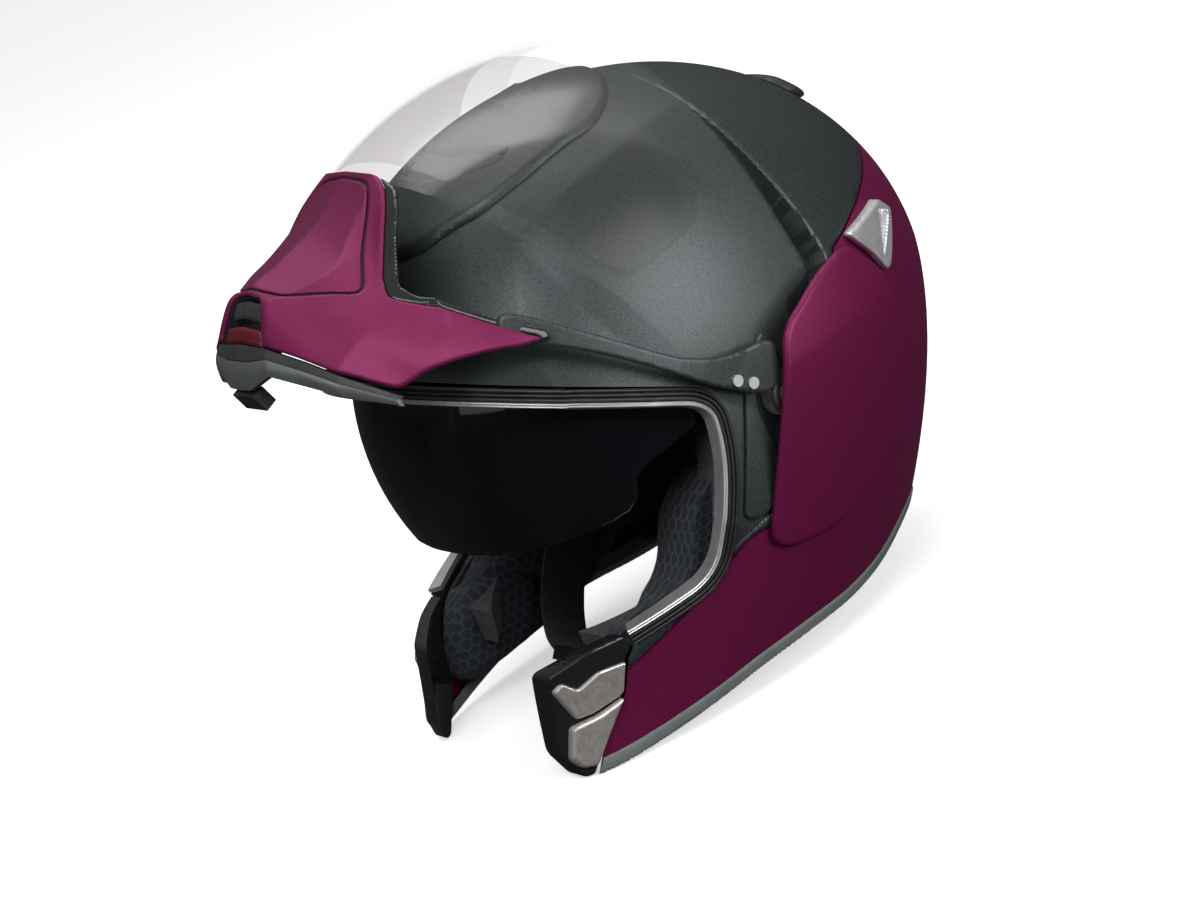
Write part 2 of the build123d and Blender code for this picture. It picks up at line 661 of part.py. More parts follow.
# Chin bar
sweep_in = sweep_form()
sweep_frame = sweep_form(CHIN_FRAME_DEPTH)
sweep_foam = sweep_form(CHIN_FRAME_DEPTH + CHIN_FOAM_DEPTH)
with BuildPart() as chin_solid:
    add(chin_plan_block())
    add(chin_face_block(CHIN_FACE), mode=Mode.INTERSECT)
    add(chin_side_block(), mode=Mode.INTERSECT)
with BuildPart() as chin_hollow:
    add(chin_plan_block(CHIN_WALL))
    add(chin_face_block(CHIN_FACE, CHIN_WALL), mode=Mode.INTERSECT)
    add(chin_side_block(CHIN_WALL), mode=Mode.INTERSECT)
with BuildPart() as cheek_block_out:
    add(side_block(CHEEK_ROOM_LINE, CHEEK_ROOM_INNER_X))
    add(side_block(BEZEL_ROOM_LINE, BEZEL_ROOM_INNER_X))
    add(shell_form(CHEEK_ROOM_GAP), mode=Mode.INTERSECT)
    mirror(about=Plane.YZ)
cheek_room = cheek_block_out.part.rotate(PIVOT_AXIS, -OPEN_ANGLE)
vent_pocket = closed_box(CHIN_VENT_HALF, CHIN_VENT_DEPTH_Y - CHIN_VENT_REACH, CHIN_VENT_DEPTH_Y,
                         CHIN_VENT_LOW_Z, CHIN_VENT_HIGH_Z)
with BuildPart() as chin_bar_shell:
    add(chin_solid.part)
    add(chin_hollow.part, mode=Mode.SUBTRACT)
    add(sweep_form(CHIN_FRAME_DEPTH + FIT_GAP), mode=Mode.SUBTRACT)
    add(vent_pocket, mode=Mode.SUBTRACT)
    add(cheek_room, mode=Mode.SUBTRACT)

with BuildPart() as chin_bar_frame:
    add(chin_solid.part)
    add(sweep_frame, mode=Mode.INTERSECT)
    add(sweep_in, mode=Mode.SUBTRACT)
    add(cheek_room, mode=Mode.SUBTRACT)
save(chin_bar_frame.part, "chin_bar_frame")

# Chin bar foam, black wings beside the nose and grey lip
with BuildPart() as chin_bar_foam:
    add(chin_plan_block(CHIN_WALL + FIT_GAP))
    add(chin_face_block(CHIN_FACE, CHIN_WALL + FIT_GAP), mode=Mode.INTERSECT)
    add(chin_side_block(CHIN_WALL + FIT_GAP), mode=Mode.INTERSECT)
    add(sweep_foam, mode=Mode.INTERSECT)
    add(sweep_form(CHIN_FRAME_DEPTH + FIT_GAP), mode=Mode.SUBTRACT)
    add(closed_box(CHIN_VENT_HALF + CHIN_WALL, CHIN_VENT_DEPTH_Y - CHIN_REACH, CHIN_VENT_DEPTH_Y + CHIN_WALL,
                   CHIN_VENT_LOW_Z - CHIN_WALL, CHIN_VENT_HIGH_Z + CHIN_WALL), mode=Mode.SUBTRACT)
    add(cheek_room, mode=Mode.SUBTRACT)
save(chin_bar_foam.part, "chin_bar_foam")

with BuildPart() as nose_wings:
    add(chin_plan_block(SURROUND_SET_BACK))
    add(chin_face_block(SURROUND_FACE), mode=Mode.INTERSECT)
    add(chin_side_block(SURROUND_SET_BACK), mode=Mode.INTERSECT)
    add(chin_solid.part, mode=Mode.SUBTRACT)
    add(sweep_form(FIT_GAP), mode=Mode.SUBTRACT)
with BuildPart() as left_nose_wing:
    add(nose_wings.solids().sort_by(Axis.X)[-1])
save_pair(left_nose_wing.part, "nose_wing")

with BuildPart() as lip_body:
    add(chin_plan_block(LIP_SET_BACK))
    add(chin_face_block(LIP_FACE), mode=Mode.INTERSECT)
    add(chin_solid.part, mode=Mode.SUBTRACT)
    add(sweep_form(CHIN_FRAME_DEPTH), mode=Mode.SUBTRACT)
    add(cheek_room, mode=Mode.SUBTRACT)
with BuildPart() as chin_lip:
    add(lip_body.solids().sort_by(SortBy.VOLUME)[-1])

# Chin vent: tray, fixed flap and sliding shutter
with BuildPart() as chin_vent_tray:
    add(closed_box(CHIN_VENT_HALF - FIT_GAP, CHIN_VENT_DEPTH_Y - CHIN_VENT_SILL, CHIN_VENT_DEPTH_Y,
                   CHIN_VENT_LOW_Z + FIT_GAP, CHIN_VENT_HIGH_Z - FIT_GAP))
    add(closed_box(CHIN_VENT_HALF - CHIN_VENT_RIM, CHIN_VENT_DEPTH_Y - CHIN_VENT_SILL,
                   CHIN_VENT_DEPTH_Y - CHIN_VENT_RIM, CHIN_VENT_LOW_Z + CHIN_VENT_RIM,
                   CHIN_VENT_HIGH_Z - CHIN_VENT_RIM), mode=Mode.SUBTRACT)
    add(closed_box(CHIN_VENT_HALF - CHIN_VENT_RIM, FLAP_FRONT_Y, CHIN_VENT_DEPTH_Y, FLAP_LOW_Z,
                   FLAP_LOW_Z + FLAP_THICKNESS))
save(chin_vent_tray.part, "chin_vent_tray")

with BuildPart() as chin_vent_shutter:
    add(closed_box(SLIDER_HALF, SLIDER_FRONT_Y, CHIN_VENT_DEPTH_Y - CHIN_VENT_RIM - SLIDER_GAP, SLIDER_LOW_Z,
                   SLIDER_LOW_Z + SLIDER_HEIGHT))
    fillet(chin_vent_shutter.edges().filter_by(Axis((0, 0, 0), CLOSED_UP)), SLIDER_CORNER)
save(chin_vent_shutter.part, "chin_vent_shutter")

# Arms joining the chin bar to the pivots
arm_line = ARM_TOP_LINE + ARM_LOW_LINE
with BuildPart() as left_arm:
    add(sweep_form(ARM_THICKNESS))
    add(sweep_form(FIT_GAP / 2), mode=Mode.SUBTRACT)
    with BuildSketch(Plane.YZ, mode=Mode.PRIVATE) as arm_side:
        with BuildLine():
            Polyline(*arm_line, close=True)
        make_face()
        with Locations((PIVOT_Y, PIVOT_Z)):
            Circle(ARM_EYE_RADIUS)
    extrude(arm_side.sketch, amount=WIDE, mode=Mode.INTERSECT)
    add(chin_solid.part, mode=Mode.SUBTRACT)
    add(left_nose_wing.part, mode=Mode.SUBTRACT)
    with BuildSketch(Plane.YZ):
        with Locations((PIVOT_Y, PIVOT_Z)):
            Circle(HUB_RADIUS + RUN_CLEARANCE)
        with Locations(*SCREW_PLACES):
            Circle(SCREW_RADIUS - SCREW_SEAT)
    extrude(amount=WIDE, mode=Mode.SUBTRACT)
save_pair(left_arm.part, "arm")

arm_face_x = (SWEEP_HALF_WIDTH + ARM_THICKNESS)
with BuildPart() as arm_screws:
    for y, z in SCREW_PLACES:
        add(cross_pin(y, z, SCREW_RADIUS, arm_face_x, arm_face_x + SCREW_HEAD))
        add(cross_pin(y, z, SCREW_RADIUS - SCREW_SEAT - FIT_GAP / 2, arm_face_x - ARM_THICKNESS / 2,
                      arm_face_x))
    mirror(about=Plane.YZ)
save(arm_screws.part, "arm_screws")

# Side covers over the pivots
left_cover = layer(shell_form(COVER_GAP + COVER_THICKNESS), shell_form(COVER_GAP), COVER_LINE)
with BuildPart() as left_side_cover:
    add(left_cover)
    fillet(left_side_cover.faces().sort_by(Axis.X)[-1].edges(), COVER_EDGE)
save_pair(left_side_cover.part, "side_cover")

# Pivot hubs: a stub with a flange on the shell
hub_outer_x = SHELL_HALF_WIDTH - HUB_SHORT
with BuildPart() as left_hub:
    add(cross_pin(PIVOT_Y, PIVOT_Z, HUB_RADIUS, SUNK_HALF_WIDTH, hub_outer_x))
    add(cross_pin(PIVOT_Y, PIVOT_Z, HUB_FLANGE_RADIUS, SUNK_HALF_WIDTH - HUB_FLANGE_THICKNESS,
                  SUNK_HALF_WIDTH + HUB_FLANGE_THICKNESS))
    add(cross_pin(PIVOT_Y, PIVOT_Z, HUB_BORE_RADIUS, hub_outer_x - HUB_BORE_DEPTH, hub_outer_x),
        mode=Mode.SUBTRACT)
    add(bowl(SUNK_HALF_WIDTH, SUNK_RADIUS, SUNK_POWER, PIVOT_Y, PIVOT_Z), mode=Mode.SUBTRACT)
save_pair(left_hub.part, "hub")

# Strip panels in front of the covers
with BuildPart() as left_strip_panel:
    add(body_form(-STRIP_THICKNESS))
    add(body_form(-FIT_GAP / 2), mode=Mode.SUBTRACT)
    add(side_block(STRIP_LINE, 0), mode=Mode.INTERSECT)
    add(shell_form(COVER_GAP - 2 * FIT_GAP), mode=Mode.INTERSECT)
save_pair(left_strip_panel.part, "strip_panel")

# Bright corner trims above the covers
corner_top = shell_form(CORNER_PROUD)
corner_notch = layer(corner_top, shell_form(CORNER_PROUD - CORNER_RECESS_DEPTH), CORNER_RECESS_LINE)
with BuildPart() as left_corner_trim:
    add(layer(corner_top, cover_bottom, CORNER_LINE))
    add(corner_notch, mode=Mode.SUBTRACT)
save_pair(left_corner_trim.part, "corner_trim")

# Cheek ends: dark bezel, two level latch plate
bezel_inner = shell_form(-BEZEL_DEPTH)
latch_seat = shell_form(-LATCH_DEPTH)
with BuildPart() as left_cheek_bezel:
    add(plain_outer)
    add(bezel_inner, mode=Mode.SUBTRACT)
    add(side_block(BEZEL_LINE, 0), mode=Mode.INTERSECT)
    add(layer(plain_outer, latch_seat, PLATE_LINE), mode=Mode.SUBTRACT)
    add(layer(plain_outer, latch_seat, STRIKER_LINE), mode=Mode.SUBTRACT)
save_pair(left_cheek_bezel.part, "cheek_bezel")

latch_floor = shell_form(FIT_GAP - LATCH_DEPTH)
left_latch_plate = layer(shell_form(PLATE_PROUD), latch_floor, PLATE_LINE)
save_pair(left_latch_plate, "latch_plate")
left_striker = layer(shell_form(STRIKER_PROUD), latch_floor, STRIKER_LINE)
save_pair(left_striker, "striker")

# Top vent with its slider, rear vent
crown_plane = Plane.XY.offset(MIDDLE_Z)
track_rear_y = VENT_SLIDER_REAR_Y + FIT_GAP
with BuildPart() as vent_track:
    with BuildSketch(crown_plane):
        with Locations((0, (VENT_TRACK_FRONT_Y + track_rear_y) / 2)):
            Rectangle(2 * VENT_TRACK_HALF, track_rear_y - VENT_TRACK_FRONT_Y)
    extrude(amount=WIDE)
    add(shell_form(VENT_PROUD - VENT_TRACK_DEPTH), mode=Mode.SUBTRACT)
with BuildPart() as top_vent:
    add(shell_form(VENT_PROUD))
    add(cover_bottom, mode=Mode.SUBTRACT)
    with BuildSketch(crown_plane, mode=Mode.PRIVATE) as vent_plan:
        with BuildLine():
            Polyline(*both_sides(VENT_HALF_LINE), close=True)
        make_face()
    extrude(vent_plan.sketch, amount=WIDE, mode=Mode.INTERSECT)
    with BuildSketch(crown_plane, mode=Mode.PRIVATE) as mouth_plan:
        with BuildLine():
            Polyline(*both_sides(VENT_MOUTH_LINE), close=True)
        make_face()
    extrude(mouth_plan.sketch, amount=WIDE, mode=Mode.SUBTRACT)
    add(vent_track.part, mode=Mode.SUBTRACT)
save(top_vent.part, "top_vent")

slider_half_length = (VENT_SLIDER_REAR_Y - VENT_SLIDER_FRONT_Y) / 2
slide_middle_y = VENT_SLIDER_FRONT_Y + slider_half_length - VENT_TRAVEL / 2
track_length = SHELL_HALF_LENGTH + VENT_PROUD - VENT_TRACK_DEPTH
track_rise = CROWN_RISE + VENT_PROUD - VENT_TRACK_DEPTH
track_lean = math.asin((MIDDLE_Y - slide_middle_y) / track_length)
track_slope = track_rise / track_length * math.tan(track_lean)
slider_z = MIDDLE_Z + track_rise * math.cos(track_lean) + VENT_SLIDER_LIFT + track_slope * VENT_TRAVEL / 2
slider_plane = Plane(origin=(0, slide_middle_y + VENT_TRAVEL / 2, slider_z), x_dir=(1, 0, 0), z_dir=(0,
                                                                                                     -track_slope, 1))
slider_rear_half = VENT_SLIDER_HALF - VENT_SLIDER_TAPER
with BuildPart() as top_vent_slider:
    with BuildSketch(slider_plane):
        with BuildLine():
            Polyline((-VENT_SLIDER_HALF, -slider_half_length), (VENT_SLIDER_HALF, -slider_half_length),
                     (slider_rear_half, slider_half_length), (-slider_rear_half,
                                                              slider_half_length), close=True)
        make_face()
    extrude(amount=VENT_SLIDER_HEIGHT, taper=VENT_SLIDER_DRAFT)
save(top_vent_slider.part, "top_vent_slider")

with BuildPart() as rear_vent:
    add(shell_form(REAR_VENT_PROUD))
    add(cover_bottom, mode=Mode.SUBTRACT)
    with BuildSketch(Plane.XZ.offset(-MIDDLE_Y), mode=Mode.PRIVATE) as rear_plan:
        with BuildLine():
            Polyline(*[(x, REAR_VENT_Z + z) for x, z in REAR_VENT_LINE], close=True)
        make_face()
        with Locations((0, REAR_VENT_Z)):
            Rectangle(REAR_VENT_SLOT_LENGTH, REAR_VENT_SLOT_HEIGHT, mode=Mode.SUBTRACT)
    extrude(rear_plan.sketch, amount=-WIDE, mode=Mode.INTERSECT)
save(rear_vent.part, "rear_vent")

# Comfort pads
pad_back = body_form(TRIM_DEPTH + FIT_GAP)
with BuildPart() as cheek_block:
    add(side_block(CHEEK_PAD_LINE, PAD_INNER_X, SHELL_HALF_WIDTH))
    fillet(cheek_block.faces().sort_by(Axis.X)[0].edges(), PAD_CROWN_RADIUS)
with BuildPart() as liner_room:
    add(band_block(LINER_FRONT_Y - FIT_GAP, TALL, LINER_LOW_Z - FIT_GAP, TALL))
    add(cavity_form(-FIT_GAP), mode=Mode.SUBTRACT)
with BuildPart() as bezel_room:
    add(band_block(-FAR, LINER_FRONT_Y, -FAR, BEZEL_ROOM_TOP_Z))
    add(shell_form(-BEZEL_DEPTH - FIT_GAP), mode=Mode.SUBTRACT)
with BuildPart() as left_cheek_pad:
    add(cheek_block.part)
    add(pad_back, mode=Mode.INTERSECT)
    add(liner_room.part, mode=Mode.SUBTRACT)
    add(bezel_room.part, mode=Mode.SUBTRACT)
    add(side_block(PAD_CHANNEL_LINE, 0, PAD_INNER_X + PAD_CHANNEL_DEPTH), mode=Mode.SUBTRACT)
with BuildPart() as ear_block:
    add(side_block(EAR_PAD_LINE, EAR_PAD_INNER_X, SHELL_HALF_WIDTH))
    fillet(ear_block.faces().sort_by(Axis.X)[0].edges(), EAR_PAD_RADIUS)
with BuildPart() as left_ear_pad:
    add(ear_block.part)
    add(cavity_form(-FIT_GAP), mode=Mode.INTERSECT)

with BuildPart() as crown_pad:
    add(cavity_form(-FIT_GAP))
    add(cavity_form(-FIT_GAP - PAD_THICKNESS), mode=Mode.SUBTRACT)
    add(side_block(CROWN_PAD_LINE), mode=Mode.INTERSECT)
save(crown_pad.part, "crown_pad")

with BuildPart() as neck_roll:
    add(pad_back)
    with BuildSketch(Plane.XY.offset(NECK_ROLL_LOW_Z), mode=Mode.PRIVATE) as roll_plan:
        with Locations((0, CAVITY_Y)):
            Ellipse(WIDE, WIDE)
            Ellipse(NECK_ROLL_INNER_HALF, NECK_ROLL_INNER_LENGTH, mode=Mode.SUBTRACT)
        with Locations((0, NECK_ROLL_FRONT_Y - WIDE)):
            Rectangle(2 * CHIN_REACH, 2 * WIDE, mode=Mode.SUBTRACT)
    extrude(roll_plan.sketch, amount=LINER_LOW_Z - FIT_GAP - NECK_ROLL_LOW_Z, mode=Mode.INTERSECT)
save(neck_roll.part, "neck_roll")

# Chin strap hanging between the cheeks, in a plane leaning back
strap_plane = Plane(origin=(0, STRAP_CENTRE_Y, STRAP_CENTRE_Z), x_dir=(1, 0, 0),
                    z_dir=(0, -math.cos(math.radians(STRAP_LEAN_BACK)),
                           math.sin(math.radians(STRAP_LEAN_BACK))))
with BuildPart() as left_strap:
    with BuildSketch(strap_plane.offset(-STRAP_WIDTH / 2)):
        with BuildLine():
            Spline(*STRAP_PATH, tangents=STRAP_TANGENTS)
        trace(line_width=STRAP_THICKNESS)
    extrude(amount=STRAP_WIDTH)
with BuildPart() as strap_room:
    with BuildSketch(strap_plane.offset(-STRAP_WIDTH / 2 - STRAP_CLEARANCE)):
        with BuildLine():
            Polyline(*STRAP_ROOM_LINE, close=True)
        make_face()
    extrude(amount=STRAP_WIDTH + 2 * STRAP_CLEARANCE)
anchor_y = STRAP_CENTRE_Y + STRAP_PATH[-1][1] * math.sin(math.radians(STRAP_LEAN_BACK))
anchor_z = STRAP_CENTRE_Z + STRAP_PATH[-1][1] * math.cos(math.radians(STRAP_LEAN_BACK))
anchor_x = STRAP_PATH[-1][0] + FIT_GAP
disc_room = cross_pin(anchor_y, anchor_z, ANCHOR_RADIUS + STRAP_CLEARANCE, PAD_INNER_X, WIDE)
for pad, name in ((left_cheek_pad, "cheek_pad"), (left_ear_pad, "ear_pad")):
    with pad:
        add(strap_room.part, mode=Mode.SUBTRACT)
        add(disc_room, mode=Mode.SUBTRACT)
    save_pair(pad.part, name)
save_pair(left_strap.part, "strap")

# Strap anchors: a disc with a pin through the liner
with BuildPart() as strap_anchors:
    add(cross_pin(anchor_y, anchor_z, ANCHOR_RADIUS, anchor_x, anchor_x + ANCHOR_THICKNESS))
    add(cross_pin(anchor_y, anchor_z, ANCHOR_PIN_RADIUS, anchor_x + ANCHOR_THICKNESS, ANCHOR_END_X))
    mirror(about=Plane.YZ)
save(strap_anchors.part, "strap_anchors")
with BuildPart() as anchor_room:
    add(cross_pin(anchor_y, anchor_z, ANCHOR_PIN_RADIUS + FIT_GAP, 0, WIDE))
    mirror(about=Plane.YZ)

# Buckle: channel body, toothed tongue and release lever
with BuildPart() as buckle_body:
    with BuildSketch(strap_plane.offset(-BUCKLE_WIDTH / 2)):
        with Locations((BUCKLE_X, BUCKLE_V)):
            Rectangle(BUCKLE_LENGTH, BUCKLE_HEIGHT)
    extrude(amount=BUCKLE_WIDTH)
    with BuildSketch(strap_plane.offset(BUCKLE_SIDE - BUCKLE_WIDTH / 2)):
        with Locations((BUCKLE_X + BUCKLE_FLOOR, BUCKLE_V + BUCKLE_FLOOR)):
            Rectangle(BUCKLE_LENGTH, BUCKLE_HEIGHT - 2 * BUCKLE_FLOOR)
    extrude(amount=BUCKLE_WIDTH - 2 * BUCKLE_SIDE, mode=Mode.SUBTRACT)
save(buckle_body.part, "buckle_body")

tooth_points = [(TONGUE_X + TOOTH_PITCH * step,
                 TONGUE_V + TONGUE_THICKNESS / 2) for step in range(TOOTH_COUNT)]
with BuildPart() as buckle_tongue:
    with BuildSketch(strap_plane.offset(-TONGUE_WIDTH / 2)):
        with BuildLine():
            Polyline((TONGUE_X, TONGUE_V - TONGUE_THICKNESS / 2),
                     (TONGUE_X + TONGUE_LENGTH, TONGUE_V - TONGUE_THICKNESS / 2),
                     (TONGUE_X + TONGUE_LENGTH, TONGUE_V + TONGUE_THICKNESS / 2),
                     (TONGUE_X, TONGUE_V + TONGUE_THICKNESS / 2), close=True)
        make_face()
        with Locations(*tooth_points):
            RegularPolygon(TOOTH_SIZE, 3, mode=Mode.SUBTRACT)
    extrude(amount=TONGUE_WIDTH)
save(buckle_tongue.part, "buckle_tongue")

with BuildPart() as buckle_lever:
    with BuildSketch(strap_plane.offset(-LEVER_WIDTH / 2)):
        with BuildLine():
            Polyline((LEVER_PIVOT_U, LEVER_V), (LEVER_PIVOT_U + LEVER_LENGTH, LEVER_V),
                     (LEVER_PIVOT_U + LEVER_LENGTH + LEVER_LIP, LEVER_V - LEVER_LIP),
                     (LEVER_PIVOT_U + LEVER_LENGTH, LEVER_V - LEVER_THICKNESS),
                     (LEVER_PIVOT_U, LEVER_V - LEVER_THICKNESS), close=True)
        make_face()
    extrude(amount=LEVER_WIDTH)
save(buckle_lever.part, "buckle_lever")

# Sun visor lever in a track on the lower right edge, drawn for the left and mirrored
with BuildPart() as lever_track:
    add(shell_form(LEVER_TRACK_DEPTH))
    add(cover_bottom, mode=Mode.SUBTRACT)
    add(side_block(LEVER_LINE, 0), mode=Mode.INTERSECT)
    add(side_block(LEVER_SLOT_LINE, 0), mode=Mode.SUBTRACT)
save(mirrored_part(lever_track.part), "lever_track")
lever_turn = math.radians(LEVER_TURN)
lever_plane = Plane(origin=(LEVER_BUTTON_X, LEVER_BUTTON_Y, LEVER_BUTTON_Z),
                    x_dir=(-math.sin(lever_turn), math.cos(lever_turn), 0),
                    z_dir=(math.cos(lever_turn), math.sin(lever_turn), 0))
with BuildPart() as sun_visor_lever:
    with BuildSketch(lever_plane):
        Rectangle(2 * LEVER_BUTTON_HALF, LEVER_BUTTON_HEIGHT)
    extrude(amount=LEVER_BUTTON_REACH)
    chamfer(sun_visor_lever.edges().group_by(Axis.X)[-1], LEVER_BUTTON_EDGE)
save(mirrored_part(sun_visor_lever.part), "sun_visor_lever")

# Release button under the chin bar
with BuildPart() as release_button:
    add(closed_box(BUTTON_HALF, BUTTON_FRONT_Y, BUTTON_REAR_Y, BUTTON_LOW_Z, BUTTON_HIGH_Z))
    fillet(release_button.edges().filter_by(Axis((0, 0, 0), CLOSED_UP)), SLIDER_CORNER)
save(release_button.part, "release_button")
button_room = closed_box(BUTTON_HALF + FIT_GAP, BUTTON_FRONT_Y - FIT_GAP, BUTTON_REAR_Y + FIT_GAP,
                         BUTTON_LOW_Z - BUTTON_TRAVEL, BUTTON_HIGH_Z + BUTTON_TRAVEL + FIT_GAP)
for made, name in ((chin_bar_shell, "chin_bar_shell"), (chin_lip, "chin_lip")):
    with made:
        add(button_room, mode=Mode.SUBTRACT)
    save(made.part, name)
with impact_liner:
    add(anchor_room.part, mode=Mode.SUBTRACT)
save(impact_liner.part, "impact_liner")
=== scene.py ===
import bpy
import json
import math
import numpy as np
from mathutils import Matrix, Vector

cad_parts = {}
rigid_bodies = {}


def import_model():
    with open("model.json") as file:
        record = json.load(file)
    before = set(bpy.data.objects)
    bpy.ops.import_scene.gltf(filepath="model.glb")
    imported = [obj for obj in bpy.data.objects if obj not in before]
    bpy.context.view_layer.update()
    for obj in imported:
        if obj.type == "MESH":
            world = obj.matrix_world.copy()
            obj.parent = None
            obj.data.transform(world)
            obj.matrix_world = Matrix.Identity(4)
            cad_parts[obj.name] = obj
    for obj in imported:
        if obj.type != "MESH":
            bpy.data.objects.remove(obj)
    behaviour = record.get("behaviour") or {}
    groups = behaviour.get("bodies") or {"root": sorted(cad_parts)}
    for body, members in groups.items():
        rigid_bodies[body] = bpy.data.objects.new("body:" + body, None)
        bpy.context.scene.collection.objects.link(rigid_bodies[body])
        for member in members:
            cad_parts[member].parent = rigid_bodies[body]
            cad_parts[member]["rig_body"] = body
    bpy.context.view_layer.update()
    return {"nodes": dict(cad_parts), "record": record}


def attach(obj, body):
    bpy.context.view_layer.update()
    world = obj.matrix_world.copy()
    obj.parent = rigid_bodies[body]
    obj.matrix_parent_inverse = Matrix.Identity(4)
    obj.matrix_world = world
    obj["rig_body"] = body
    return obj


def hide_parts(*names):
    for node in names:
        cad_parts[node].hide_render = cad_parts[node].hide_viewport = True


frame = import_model()
NODES = frame["nodes"]

# Sizes of the helmet in millimetres, before the shift of the shared frame
SHIFT = 12.38
HALF_WIDTH, HALF_LENGTH, RISE = 128.0, 146.5, 126.5
MIDDLE_Y, MIDDLE_Z = 13.5, 144.0
SIDE_TUCK, SIDE_TUCK_POWER = 38.0, 1.34
FRONT_TUCK, FRONT_TUCK_POWER = 33.0, 2.8
REAR_TUCK, REAR_TUCK_POWER = 62.0, 1.7
MILLIMETRE, SHARP = 0.001, math.radians(38)
PIVOT_Y, PIVOT_Z = 10.0, 128.0
OPEN = math.radians(66.5)
SHELL_WALL = 4.4
STEP_WALL, STEP_REACH = 14.0, 9.0
PORT_REACH = 8.2
SEAM_GAP, DOME_EDGE = 0.6, 1.2
RIM_TOP, RIM_WALL, RIM_EDGE = 0.8, 8, 1.0
ARM_TOP, ARM_BOTTOM, ARM_EDGE = 2.2, 0.2, 0.9
VENT_TOP, VENT_BOTTOM, VENT_EDGE = 3.4, 0.4, 2.6
MOUTH_TOP, MOUTH_BOTTOM = 0.3, 0.05
REAR_TOP, REAR_BOTTOM, REAR_EDGE = 4, 0.4, 2.4
VISOR_WALL, VISOR_EDGE, LENS_WALL, SHADE_WALL, SHADE_EDGE = 2.2, 0.5, 1, 1.8, 0.7
RUBBER_HEIGHT, RUBBER_LAP = 6.5, 0.4
HUB_RADIUS, ARM_EYE, VISOR_EYE = 5.7, 10.0, 11.0

# Outlines from the side, as y and z
SUNK_LINE = [(44, 300), (51, 205), (54.5, 171), (46, 160), (36, 98), (10, 84), (-22, 80), (-45, 72),
             (-90, 50), (-190, 10), (-190, 300)]
SPLIT_LINE = [(-100, 37), (-87, 43.4), (-72, 51), (-56, 60), (-42, 68), (-27, 76), (-10, 74), (30, 84),
              (46, 104), (54, 150), (57.5, 173.6), (65, 175), (82, 180), (113, 188), (170, 204)]
PORT_LINE = [(-200, 222), (-25, 139), (-27, 122), (-31, 108), (-48, 68.5), (-90, 58.5), (-200, 33)]
CHEEK_LINE = [(-86.5, 50), (-91, 46.5), (-96.5, 32), (-119.5, 0.5), (-122, -8), (-200, -20), (-200, 60)]
RIM_LINE = [(-190, 0), (-113, 0), (-93, 3), (-63, 8), (-36, 13), (-6, 15), (25, 15), (50, 18), (78, 27),
            (190, 27)]
COVER_LINE = [(13, 157), (-20, 71), (-16, 65), (-10, 62), (8, 59), (28, 60), (50, 68), (68, 81), (80, 96),
              (88, 112), (90, 130), (86, 146), (77, 159), (66, 174), (42, 170)]
STRIP_LINE = [(12, 157.5), (-3, 144), (-9, 131), (-29, 85), (-20, 81.5), (-9, 86), (-2, 106), (-4, 128),
              (0, 138), (14, 151)]
ARM_LINE = [(9, 137.5), (12, 156), (-10, 156), (-33, 165), (-75, 202), (-92, 217), (-98, 204), (-78, 193),
            (-58, 178), (-31, 154), (-23, 147), (-5, 135), (2, 134)]
CORNER_LINE = [(69, 176), (101, 178.5), (108, 171), (88, 153), (84, 151.5), (79, 162)]
CORNER_NOTCH = [(96, 176), (104, 171.5), (84, 158)]
BEZEL_LINE = [(-88.5, 49.6), (-88.7, 57), (-104, 55), (-120, 49), (-128.5, 14), (-125, 2), (-120, 0),
              (-97, 32), (-91.6, 47)]
PLATE_LINE = [(-93, 45.5), (-98, 32), (-111, 28), (-118, 27.5), (-121, 42), (-117, 45), (-113, 40),
              (-104, 45)]
STRIKER_LINE = [(-98.5, 30.5), (-110.5, 26.5), (-121, 25), (-126.5, 11), (-124, 6), (-118, 5)]
VISOR_LINE = [(-104, 304), (-88, 276), (-77, 257), (-61, 227), (-47, 205), (-29, 163), (-27, 156), (-22, 149),
              (13, 160), (46, 168.5), (49, 172), (44, 190), (45, 207), (43, 242), (40, 259), (36, 304)]
EAR_LINE = [(1, 128), (1, 162), (28, 166), (21, 128)]
LENS_LINE = [(-77, 276), (-50, 228), (-36, 204), (14, 212), (16, 250), (12, 296), (-76, 296)]
SUN_LINE = [(-130, 106), (-110, 100), (-88, 102), (-70, 104), (-61, 109), (-60, 122), (-30, 130), (-4, 133),
            (-4, 147), (-40, 158), (-56, 163), (-86, 204), (-130, 220)]
EDGE_LINE = [(-140, 191.3), (-25, 139), (-27, 122), (-31, 108), (-48, 68.5), (-88, 59)]
CHEEK_PAD = [(-84, 56), (-66, 60), (-50, 68), (-40, 90), (-24, 102), (-6, 104), (6, 96), (10, 70), (4, 40),
             (-16, 28), (-44, 22), (-72, 18), (-98, 15), (-105, 24), (-102, 40), (-94, 51)]
CHEEK_SEAM = [(-78, 62), (-64, 56), (-49, 49.5), (-38, 36), (-31, 27), (-29, 18)]
EAR_PAD = [(16, 60), (14, 96), (4, 110), (-8, 112), (-6, 138), (60, 144), (92, 130), (92, 60), (60, 46),
           (24, 46)]
CROWN_LINE = [(-200, 196), (-60, 170), (-20, 150), (60, 148), (100, 130), (200, 130), (200, 330), (-200, 330)]

# Half outlines from above, as x and y, and the rear vent from behind, as x and z
VENT_HALF = [(0, -92), (26, -84), (48, -58), (55, -35), (57, 6), (45, 24), (26, 37), (0, 44)]
MOUTH_HALF = [(0, -56), (24, -50), (38, -37), (38, -30), (0, -40)]
REAR_LINE = [(-34, 222), (-28, 231), (28, 231), (34, 222), (26, 214), (-26, 214)]

